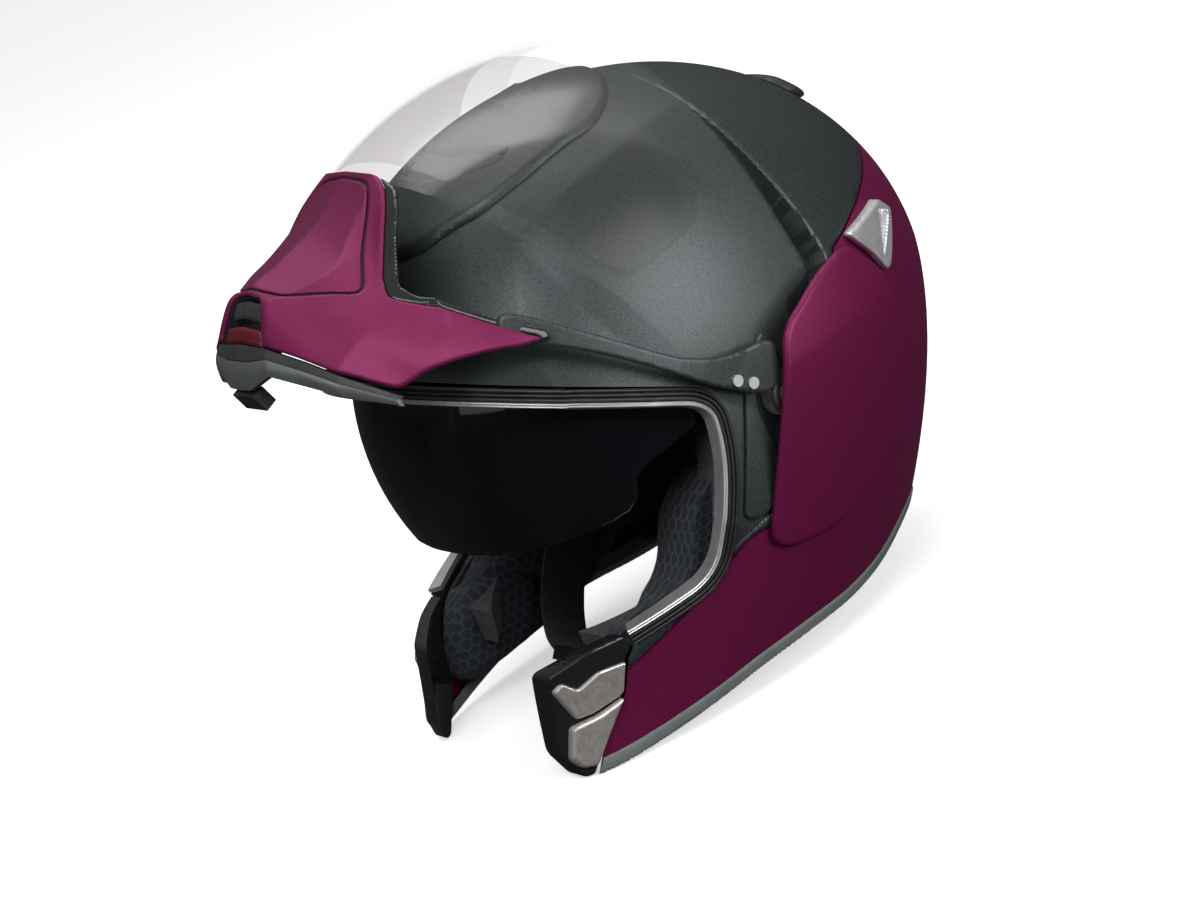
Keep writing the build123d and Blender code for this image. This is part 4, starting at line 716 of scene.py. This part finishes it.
def carried(name, profile):
    """Closed profile of width and height pairs carried along the edge of the opening."""
    wide, tall = np.array(profile, float)[None, :, :1], np.array(profile, float)[None, :, 1:]
    return tube(name, course[:, None] + outward[:, None] * wide + upward[:, None] * tall)


def rib_profile(starts, end, height, depth=-6, foot=0.4, steps=9):
    """Round ribs side by side on a foot that reaches down into the shell."""
    points = [(starts[0] - foot, depth)]
    for start, stop in zip(starts, starts[1:] + [end]):
        middle, wide = (start + stop) / 2, (stop - start) / 2
        for turn in np.linspace(0, math.pi, steps):
            points.append((middle - wide * 0.94 * math.cos(turn), 0.1 + height * math.sin(turn) ** 0.7))
    return points + [(end, depth)]


gasket = carried("port_gasket_ribs", rib_profile([2.3, 4.3, 6.2], 8.1, 1.5))
bead = carried("port_bead_roll", rib_profile([-0.1, 1.15], 2.2, 1.9))

# Pads: a puffed front over a flat back, with a seam round the edge
SEAM_DEPTH, SEAM_WIDTH, SEAM_SLOPE, SLOPE_WIDTH = 3.4, 3.2, 1.2, 9.0
PAD_SWELL, PAD_LIMIT, PAD_LEAST, PAD_BACK = 9.0, -9.0, 1.0, 0.8


def pad(name, line, front, depth, puff, crown, step=1.5, seam=()):
    line = np.array(line, float)
    (y0, z0), (y1, z1) = line.min(0) - step, line.max(0) + step
    ys, zs = np.arange(y0, y1 + step, step), np.arange(z0, z1 + step, step)
    z, y = np.meshgrid(zs, ys, indexing="ij")
    y, z = y.ravel(), z.ravel()
    reach = inside(line, y, z)
    groove = np.full(y.shape, 1e9)
    for (ya, za), (yb, zb) in zip(seam[:-1], seam[1:]):
        dy, dz = yb - ya, zb - za
        t = np.clip(((y - ya) * dy + (z - za) * dz) / (dy * dy + dz * dz), 0, 1)
        groove = np.minimum(groove, np.hypot(y - ya - t * dy, z - za - t * dz))
    fall = crown - np.sqrt(np.clip(crown ** 2 - np.clip(crown - reach, 0, crown) ** 2, 0, None))
    dip = SEAM_DEPTH * np.exp(-(groove / SEAM_WIDTH) ** 2) + SEAM_SLOPE * np.exp(-(groove / SLOPE_WIDTH) ** 2)
    lift = puff * (1 - np.exp(-np.clip(reach, 0, None) / PAD_SWELL))
    x = front - lift + fall + dip
    wall = half_width(natural, y, z, PAD_LIMIT)
    back = np.minimum(front + depth, np.maximum(wall, x + PAD_LEAST))
    x = np.minimum(x, back - PAD_BACK)
    points = np.stack([x, y, z, back, y, z, np.minimum(reach, groove), reach], 1)
    points, triangles = trimmed(points, grid_triangles(len(zs), len(ys)))
    return mesh_object(name, *closed(points, triangles[:, ::-1]))


def puffed(obj, limit=0.0022, pressure=6.0, mass=0.15, held_within=1.2, frames=20):
    """Cloth pressed out from inside while its seams and its back are held."""
    mesh, count = obj.data, len(obj.data.vertices)
    start, inset = np.empty(count * 3, np.float32), np.empty(count, np.float32)
    mesh.vertices.foreach_get("co", start)
    mesh.attributes["inset"].data.foreach_get("value", inset)
    fixed = np.nonzero((np.arange(count) >= count // 2) | (inset < held_within))[0]
    held = obj.vertex_groups.new(name="held")
    held.add(fixed.tolist(), 1.0, "REPLACE")
    cloth = obj.modifiers.new("cloth", "CLOTH")
    cloth.settings.vertex_group_mass = "held"
    cloth.settings.use_pressure = True
    cloth.settings.uniform_pressure_force = pressure
    cloth.settings.mass = mass
    cloth.settings.effector_weights.gravity = 0
    cloth.point_cache.frame_start, cloth.point_cache.frame_end = 1, frames
    for frame_number in range(1, frames + 1):
        bpy.context.scene.frame_set(frame_number)
    pressed = obj.evaluated_get(bpy.context.evaluated_depsgraph_get()).to_mesh()
    end = np.empty(count * 3, np.float32)
    pressed.vertices.foreach_get("co", end)
    shift = (end - start).reshape(-1, 3)
    moved = np.linalg.norm(shift, axis=1)
    shift *= (np.minimum(moved, limit) / np.maximum(moved, 1e-9))[:, None]
    obj.modifiers.remove(cloth)
    obj.vertex_groups.remove(held)
    if np.isfinite(shift).all():
        mesh.vertices.foreach_set("co", start + shift.ravel())
        mesh.update()
    bpy.context.scene.frame_set(1)


cheek_pad = pad("left_cheek_cushion", filleted(CHEEK_PAD, 9), 58.5, 34, 3.2, 8.0, seam=CHEEK_SEAM)
ear_pad = pad("left_ear_cushion", filleted(EAR_PAD, 12), 74, 12, 2.2, 5.0, step=2.0)
for cushion in (cheek_pad, ear_pad):
    puffed(cushion)
crown = layer("crown_pad_lining", ball_rays((0, 10, 140), 220, 140), cavity, -0.4, -8.0,
              [side_in(filleted(CROWN_LINE, 8))])

ROLL_CENTRE, ROLL_PLAN = np.array([0, 10, 28.5]), np.array([75.5, 97.0, 0])
ROLL_HALF, ROLL_RISE = 9.5, 5.6
ROLL_SIDES, ROLL_COLUMNS, ROLL_FIRST, ROLL_LAST = 20, 160, 8, 172
TAPER, LEAST_TAPER = 5, 0.12


def neck_roll(name):
    """Soft roll round the rear of the lower opening, thinner at its ends."""
    rings = []
    for share in np.linspace(0, 1, ROLL_COLUMNS):
        turn = math.radians(ROLL_FIRST + (ROLL_LAST - ROLL_FIRST) * share)
        taper = min(1.0, math.sin(share * math.pi) * TAPER + LEAST_TAPER)
        out = np.array([math.cos(turn), math.sin(turn), 0])
        rings.append([ROLL_CENTRE + out * ROLL_PLAN + out * ROLL_HALF * taper * math.cos(lean)
                      + np.array([0, 0, ROLL_RISE * taper * math.sin(lean)])
                      for lean in np.linspace(0, 2 * math.pi, ROLL_SIDES, endpoint=False)])
    return tube(name, np.array(rings), turned=True)


roll = neck_roll("neck_roll_cushion")

# Chin strap: webbing in a plane that leans back
STRAP_LEAN = math.radians(37.8)
STRAP_CENTRE = np.array([0, -62.0, 15.0])
STRAP_PATH = [(22, 2.2), (31, 7), (40, 18), (47, 36), (50, 58), (60, 78), (80, 88)]
STRAP_WIDTH, STRAP_THICKNESS = 24.0, 1.8
SELVEDGE, SELVEDGE_START = 0.18, 0.8
strap_up = np.array([0, math.sin(STRAP_LEAN), math.cos(STRAP_LEAN)])
strap_across = np.array([0, -math.cos(STRAP_LEAN), math.sin(STRAP_LEAN)])


def webbing(name, steps=150):
    knots = np.array(STRAP_PATH, float)
    gap = run_of(knots)
    path = smooth_between(gap, knots, np.linspace(0, gap[-1], steps))
    along = np.gradient(path, axis=0)
    along /= np.linalg.norm(along, axis=1)[:, None]
    section = []
    for share in np.linspace(-1, 1, 31):
        swell = 0.5 * STRAP_THICKNESS * (1 - 0.25 * abs(share) ** 6)
        section.append((share * STRAP_WIDTH / 2, swell + (SELVEDGE if abs(share) > SELVEDGE_START else 0)))
    section += [(w, -h) for w, h in reversed(section)]
    rings = []
    for (u, v), (du, dv) in zip(path, along):
        base = STRAP_CENTRE + np.array([u, 0, 0]) + strap_up * v
        side = np.array([-dv, 0, 0]) + strap_up * du
        rings.append([base + strap_across * w + side * h for w, h in section])
    return tube(name, np.array(rings))


strap = webbing("left_strap_webbing")


# Materials
def node(made, kind, **values):
    """New shader node with properties and inputs set by name."""
    added = made.node_tree.nodes.new(kind)
    for key, value in values.items():
        if hasattr(added, key):
            setattr(added, key, value)
        else:
            added.inputs[key.replace("_", " ")].default_value = value
    return added


def link(made, start, end):
    made.node_tree.links.new(start, end)


def fed(made, kind, parts, **values):
    """New shader node whose inputs are linked to outputs or set to numbers."""
    added = node(made, kind, **values)
    for key, part in parts.items() if isinstance(parts, dict) else enumerate(parts):
        if isinstance(part, bpy.types.NodeSocket):
            link(made, part, added.inputs[key])
        else:
            added.inputs[key].default_value = part
    return added


def maths(made, operation, *parts):
    return fed(made, "ShaderNodeMath", parts, operation=operation).outputs[0]


def vectors(made, operation, *parts):
    return fed(made, "ShaderNodeVectorMath", parts, operation=operation).outputs


def shader_of(made):
    return made.node_tree.nodes["Principled BSDF"]


def material(name, base, metallic, rough, **inputs):
    made = bpy.data.materials.new(name)
    made.use_nodes = True
    for key, value in {"Base_Color": (*base, 1), "Metallic": metallic, "Roughness": rough, **inputs}.items():
        shader_of(made).inputs[key.replace("_", " ")].default_value = value
    return made


def own_place(made):
    return node(made, "ShaderNodeTexCoord").outputs["Object"]


def noise(made, scale, detail=3.0):
    where = {"Vector": own_place(made)}
    return fed(made, "ShaderNodeTexNoise", where, Scale=scale, Detail=detail).outputs["Fac"]


def ranged(made, value, low_in, high_in, low_out, high_out):
    return fed(made, "ShaderNodeMapRange", (value, low_in, high_in, low_out, high_out)).outputs[0]


def blended(made, share, one, two):
    one, two = ((*part, 1) if isinstance(part, tuple) else part for part in (one, two))
    return fed(made, "ShaderNodeMix", {0: share, 6: one, 7: two}, data_type="RGBA").outputs[2]


def bumped(made, height, strength, distance):
    bump = fed(made, "ShaderNodeBump", {"Height": height}, Strength=strength, Distance=distance)
    link(made, bump.outputs["Normal"], shader_of(made).inputs["Normal"])


def mottled(name, one, two, scale, metallic, rough, spread, grain, grain_scale, coat=0.0, depth=0.00005):
    """Paint or plastic whose colour, gloss and skin vary a little."""
    coats = {"Coat_Weight": coat, "Coat_Roughness": 0.3} if coat else {}
    made = material(name, one, metallic, rough, **coats)
    cloud, gloss = noise(made, scale), noise(made, scale * 3.1, 4.0)
    worn = shader_of(made).inputs
    link(made, blended(made, ranged(made, cloud, 0.35, 0.65, 0, 1), one, two), worn["Base Color"])
    link(made, ranged(made, gloss, 0.3, 0.7, rough - spread, rough + spread), worn["Roughness"])
    bumped(made, noise(made, grain_scale, 1.0), grain, depth)
    return made


HEX_RISE = math.sqrt(3) / 2
HEX_SHIFT = 200


def hexagons(made, size, first, second):
    """Way from the middle to the edge of hexagon cells laid in two of the object's axes."""
    apart = fed(made, "ShaderNodeSeparateXYZ", [own_place(made)]).outputs
    flat = fed(made, "ShaderNodeCombineXYZ", [apart[first], apart[second]]).outputs[0]
    scaled = fed(made, "ShaderNodeVectorMath", {0: flat, "Scale": 1 / size}, operation="SCALE").outputs[0]
    cells, ways = [], []
    for right, up in ((0, 0), (0.5, HEX_RISE)):
        moved = vectors(made, "ADD", scaled, (right + HEX_SHIFT, up + HEX_SHIFT * HEX_RISE, 0))[0]
        cells.append(vectors(made, "WRAP", moved, (0.5, HEX_RISE, 1), (-0.5, -HEX_RISE, -1))[0])
        ways.append(vectors(made, "LENGTH", cells[-1])["Value"])
    chosen = fed(made, "ShaderNodeMix", {0: maths(made, "LESS_THAN", *ways), 4: cells[1], 5: cells[0]},
                 data_type="VECTOR").outputs[1]
    positive = vectors(made, "ABSOLUTE", chosen)[0]
    slanted = vectors(made, "DOT_PRODUCT", positive, (0.5, HEX_RISE, 0))["Value"]
    straight = fed(made, "ShaderNodeSeparateXYZ", [positive]).outputs[0]
    return maths(made, "MAXIMUM", slanted, straight)


def knit(name, one, two, size=0.0052, first=1, second=2):
    """Honeycomb knit: sunken cells between raised threads, over a fine weave."""
    made = material(name, one, 0.0, 0.88, Sheen_Weight=0.12, Sheen_Roughness=0.5)
    turned = node(made, "ShaderNodeNewGeometry").outputs["True Normal"]
    facing = fed(made, "ShaderNodeSeparateXYZ", [turned]).outputs
    across, along = (maths(made, "ABSOLUTE", facing[k]) for k in (0, 1))
    cell = fed(made, "ShaderNodeMix", {0: maths(made, "GREATER_THAN", along, across),
                                       2: hexagons(made, size, first, second), 3: hexagons(made, size, 0, 2)},
               data_type="FLOAT").outputs[0]
    wall = ranged(made, cell, 0.34, 0.46, 0, 1)
    weave = noise(made, 2600.0, 2.0)
    tone = blended(made, wall, two, one)
    link(made, blended(made, ranged(made, weave, 0.35, 0.7, 0, 0.35), tone, (0.008, 0.010, 0.014)),
         shader_of(made).inputs["Base Color"])
    bumped(made, maths(made, "ADD", wall, ranged(made, weave, 0, 1, 0, 0.35)), 0.8, 0.0005)
    return made


def woven(name, one, two):
    """Webbing with ribs across it."""
    made = material(name, one, 0.0, 0.7, Sheen_Weight=0.2)
    where = own_place(made)
    ribs, ply = (fed(made, "ShaderNodeTexWave", {"Vector": where}, bands_direction=axis, Scale=scale,
                     Distortion=bend) for axis, scale, bend in (("Z", 420.0, 0.4), ("Y", 620.0, 0.3)))
    both_ways = maths(made, "MULTIPLY", ribs.outputs["Fac"], ply.outputs["Fac"])
    link(made, blended(made, both_ways, one, two), shader_of(made).inputs["Base Color"])
    bumped(made, both_ways, 0.7, 0.0004)
    return made


def shield(name, tint, clear, rough, strength, rim):
    """Thin clear plastic: what is behind it, tinted, under a reflection that grows to grazing."""
    made = bpy.data.materials.new(name)
    made.use_nodes = True
    made.node_tree.nodes.remove(shader_of(made))
    through = node(made, "ShaderNodeBsdfTransparent", Color=(*tint, 1)).outputs[0]
    haze = node(made, "ShaderNodeBsdfDiffuse", Color=(*rim, 1)).outputs[0]
    shine = node(made, "ShaderNodeBsdfGlossy", Roughness=rough, Color=(1, 1, 1, 1)).outputs[0]
    grazing = node(made, "ShaderNodeFresnel", IOR=1.52).outputs[0]
    facing = node(made, "ShaderNodeLayerWeight", Blend=0.5).outputs["Facing"]
    held = ranged(made, facing, 0.0, 1.0, 1 - clear, min(1.0, (1 - clear) * 2.2))
    veil = maths(made, "MULTIPLY", held, ranged(made, noise(made, 35.0, 4.0), 0.3, 0.7, 0.85, 1.15))
    body = fed(made, "ShaderNodeMixShader", [veil, through, haze]).outputs[0]
    share = maths(made, "MULTIPLY", grazing, strength)
    top = fed(made, "ShaderNodeMixShader", [share, body, shine]).outputs[0]
    link(made, top, made.node_tree.nodes["Material Output"].inputs["Surface"])
    return made


# Two tones, scale of the clouds, metal, roughness and its spread, strength and scale of the grain,
# and for some a clear coat and the depth of the grain
PAINTS = {
    "body_paint": ((0.2, 0.006, 0.076), (0.14, 0.004, 0.052), 1500.0, 0.55, 0.5, 0.04, 0.16, 3200.0, 0.05),
    "dark_paint": ((0.058, 0.070, 0.071), (0.026, 0.032, 0.033), 1500.0, 0.6, 0.42, 0.04, 0.24, 2800.0, 0.06),
    "edge_rubber": ((0.15, 0.17, 0.165), (0.12, 0.14, 0.135), 60.0, 0.0, 0.55, 0.05, 0.2, 1500.0),
    "seal_rubber": ((0.012, 0.012, 0.013), (0.022, 0.022, 0.023), 90.0, 0.0, 0.46, 0.07, 0.2, 1300.0),
    "bright_metal": ((0.88, 0.89, 0.90), (0.78, 0.79, 0.81), 120.0, 0.8, 0.34, 0.05, 0.03, 2500.0),
    "latch_metal": ((0.78, 0.74, 0.70), (0.66, 0.62, 0.58), 180.0, 0.8, 0.36, 0.07, 0.16, 1600.0),
    "gloss_black": ((0.010, 0.011, 0.012), (0.016, 0.017, 0.018), 40.0, 0.0, 0.10, 0.04, 0.02, 2000.0),
    "matte_black": ((0.020, 0.020, 0.022), (0.030, 0.030, 0.032), 130.0, 0.0, 0.52, 0.06, 0.25, 1800.0),
    "grey_plastic": ((0.22, 0.235, 0.24), (0.18, 0.195, 0.20), 80.0, 0.6, 0.34, 0.05, 0.08, 1900.0),
    "red_plastic": ((0.16, 0.006, 0.02), (0.11, 0.004, 0.014), 70.0, 0.1, 0.28, 0.05, 0.06, 1900.0),
    "foam": ((0.050, 0.050, 0.055), (0.075, 0.075, 0.080), 300.0, 0.0, 0.85, 0.05, 0.5, 500.0, 0.0, 0.0004),
    "roll_cloth": ((0.020, 0.022, 0.026), (0.034, 0.037, 0.043), 240.0, 0.0, 0.85, 0.05, 0.6, 1400.0, 0.0,
                   0.0003)}
# Tint, clearness, roughness, strength of the reflection and haze
SHIELDS = {"clear_shield": ((0.985, 0.985, 0.985), 0.992, 0.25, 0.05, (0.55, 0.56, 0.57)),
           "clear_lens": ((0.93, 0.92, 0.925), 0.995, 0.2, 0.05, (0.30, 0.30, 0.31)),
           "smoke_shield": ((0.10, 0.115, 0.13), 0.55, 0.05, 0.7, (0.006, 0.008, 0.010))}
SLOTS = {name: mottled(name, *row) for name, row in PAINTS.items()}
SLOTS.update({name: shield(name, *row) for name, row in SHIELDS.items()})
SLOTS["pad_cloth"] = knit("pad_cloth", (0.034, 0.046, 0.064), (0.010, 0.014, 0.021))
SLOTS["webbing"] = woven("webbing", (0.012, 0.012, 0.014), (0.045, 0.045, 0.050))
crown_cloth = knit("crown_cloth", (0.028, 0.036, 0.050), (0.009, 0.012, 0.018), 0.0060, 0, 1)

# Pieces in place of the CAD nodes
node_slot = {row["node"]: row["material_slot"] for row in frame["record"]["subparts"]}
node_body = {name: obj["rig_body"] for name, obj in NODES.items()}


def wear(obj, made):
    obj.data.materials.clear()
    obj.data.materials.append(made)


def stand_for(obj, name, made=None):
    """Piece shown in place of a CAD node: it rides with the same body and takes the same slot."""
    wear(obj, made or SLOTS[node_slot[name]])
    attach(obj, node_body[name])
    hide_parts(name)


def pair(obj, name):
    """The left piece and its mirrored right one."""
    other = mirrored(obj, obj.name.replace("left", "right"))
    stand_for(obj, "left_" + name)
    stand_for(other, "right_" + name)


for name, obj in NODES.items():
    wear(obj, SLOTS[node_slot[name]])
for obj, name in ((upper, "upper_shell"), (lower, "lower_shell"), (trim, "rim_trim"), (gasket, "port_gasket"),
                  (bead, "port_bead"), (vent, "top_vent"), (rear, "rear_vent"), (visor, "clear_visor"),
                  (lens, "fog_lens"), (shade, "sun_visor"), (chin_bar, "chin_bar_shell"),
                  (chin_frame, "chin_bar_frame"), (chin_foam, "chin_bar_foam"), (vent_tray, "chin_vent_tray"),
                  (shutter, "chin_vent_shutter"), (lip_grey, "chin_lip"), (button, "release_button")):
    stand_for(obj, name)
# Black pieces with no CAD node of their own; the sheet in the vent's mouth is painted shade, not a part of
# the helmet
for obj, slot, body in ((nose_groove, "gloss_black", "chin_bar"), (lip_black, "matte_black", "chin_bar"),
                        (mouth_shade_sheet, "matte_black", "helmet")):
    wear(obj, SLOTS[slot])
    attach(obj, body)
for name, obj in side_pieces.items():
    pair(obj, name)
pair(strap, "strap")
pair(wing, "nose_wing")
pair(cheek_pad, "cheek_pad")
pair(ear_pad, "ear_pad")
stand_for(crown, "crown_pad", crown_cloth)
stand_for(roll, "neck_roll", SLOTS["roll_cloth"])


def softened(name, width, angle=30.0, sharp=35.0, segments=3):
    """Small rounding on the edges of a CAD piece."""
    bevel = NODES[name].modifiers.new("edges", "BEVEL")
    bevel.width = width
    bevel.segments = segments
    bevel.limit_method = "ANGLE"
    bevel.angle_limit = math.radians(angle)
    bevel.harden_normals = False
    NODES[name].data.shade_smooth()
    NODES[name].data.set_sharp_from_angle(angle=math.radians(sharp))


for name, width in (("buckle_body", 0.0007), ("buckle_lever", 0.0006), ("buckle_tongue", 0.0003)):
    softened(name, width)

# Camera at the photograph's view, in metres
AZIMUTH, ELEVATION, ROLL = math.radians(61.6), math.radians(17.4), math.radians(21.5)
AIM, DISTANCE = Vector((84.9, -67.2 + SHIFT, 136.6)) * MILLIMETRE, 1.5
FOCAL_LENGTH, SENSOR_WIDTH = 104.06, 36
camera = linked("camera", bpy.data.cameras.new("camera"))
camera.matrix_world = (Matrix.Translation(AIM) @ Matrix.Rotation(AZIMUTH, 4, "Z")
                       @ Matrix.Rotation(math.pi / 2 - ELEVATION, 4, "X") @ Matrix.Rotation(-ROLL, 4, "Z")
                       @ Matrix.Translation((0, 0, DISTANCE)))
camera.data.lens = FOCAL_LENGTH
camera.data.sensor_width = SENSOR_WIDTH
camera.data.clip_start = 0.05
bpy.context.scene.camera = camera

# Floor, sky and lamps
FLOOR_HALF, FLOOR_GLOW, SKY_STRENGTH = 6, 0.55, 0.42
SKY_TONES = ((0.0, (0.10, 0.10, 0.105, 1)), (0.9, (1.0, 1.0, 1.0, 1)))
WHITE = (1, 1, 1, 1)
floor_mesh = bpy.data.meshes.new("floor")
floor_mesh.from_pydata([(x * FLOOR_HALF, y * FLOOR_HALF, 0) for x, y in ((-1, -1), (1, -1), (1, 1), (-1, 1))],
                       [], [(0, 1, 2, 3)])
floor = linked("floor", floor_mesh)
wear(floor, material("floor_paper", (0.9, 0.9, 0.9), 0.0, 0.9, Emission_Color=WHITE,
                     Emission_Strength=FLOOR_GLOW))
floor.visible_diffuse = False
floor.visible_glossy = False

world = bpy.data.worlds.new("studio")
bpy.context.scene.world = world
world.use_nodes = True
where = node(world, "ShaderNodeTexCoord").outputs["Generated"]
apart = fed(world, "ShaderNodeSeparateXYZ", [where]).outputs
ramp = fed(world, "ShaderNodeValToRGB", [apart["Z"]])
for stop, (place, tone) in zip(ramp.color_ramp.elements, SKY_TONES):
    stop.position, stop.color = place, tone
sky = world.node_tree.nodes["Background"]
link(world, ramp.outputs[0], sky.inputs["Color"])
sky.inputs["Strength"].default_value = SKY_STRENGTH
plain = node(world, "ShaderNodeBackground", Color=WHITE, Strength=1.0)
seen = node(world, "ShaderNodeLightPath").outputs["Is Camera Ray"]
mix = fed(world, "ShaderNodeMixShader", [seen, sky.outputs[0], plain.outputs[0]])
link(world, mix.outputs[0], world.node_tree.nodes["World Output"].inputs["Surface"])


def lamp(name, place, aim, width, depth, power):
    made = linked(name, bpy.data.lights.new(name, "AREA"))
    made.data.shape = "RECTANGLE"
    made.data.size, made.data.size_y = width, depth
    made.data.energy = power
    made.location = place
    made.rotation_euler = (Vector(aim) - Vector(place)).to_track_quat("-Z", "Y").to_euler()


lamp("key", (1.0, -0.9, 1.5), (0, 0, 0.15), 1.1, 0.8, 15)
lamp("fill", (1.7, 0.5, 0.6), (0, 0, 0.15), 1.0, 1.2, 24)
lamp("front", (0.2, -1.8, 0.8), (0, 0, 0.15), 1.0, 0.8, 2.5)
lamp("over", (-0.4, 0.3, 1.8), (0, 0, 0.2), 1.4, 1.0, 14)

bpy.context.scene.view_settings.view_transform = "Standard"
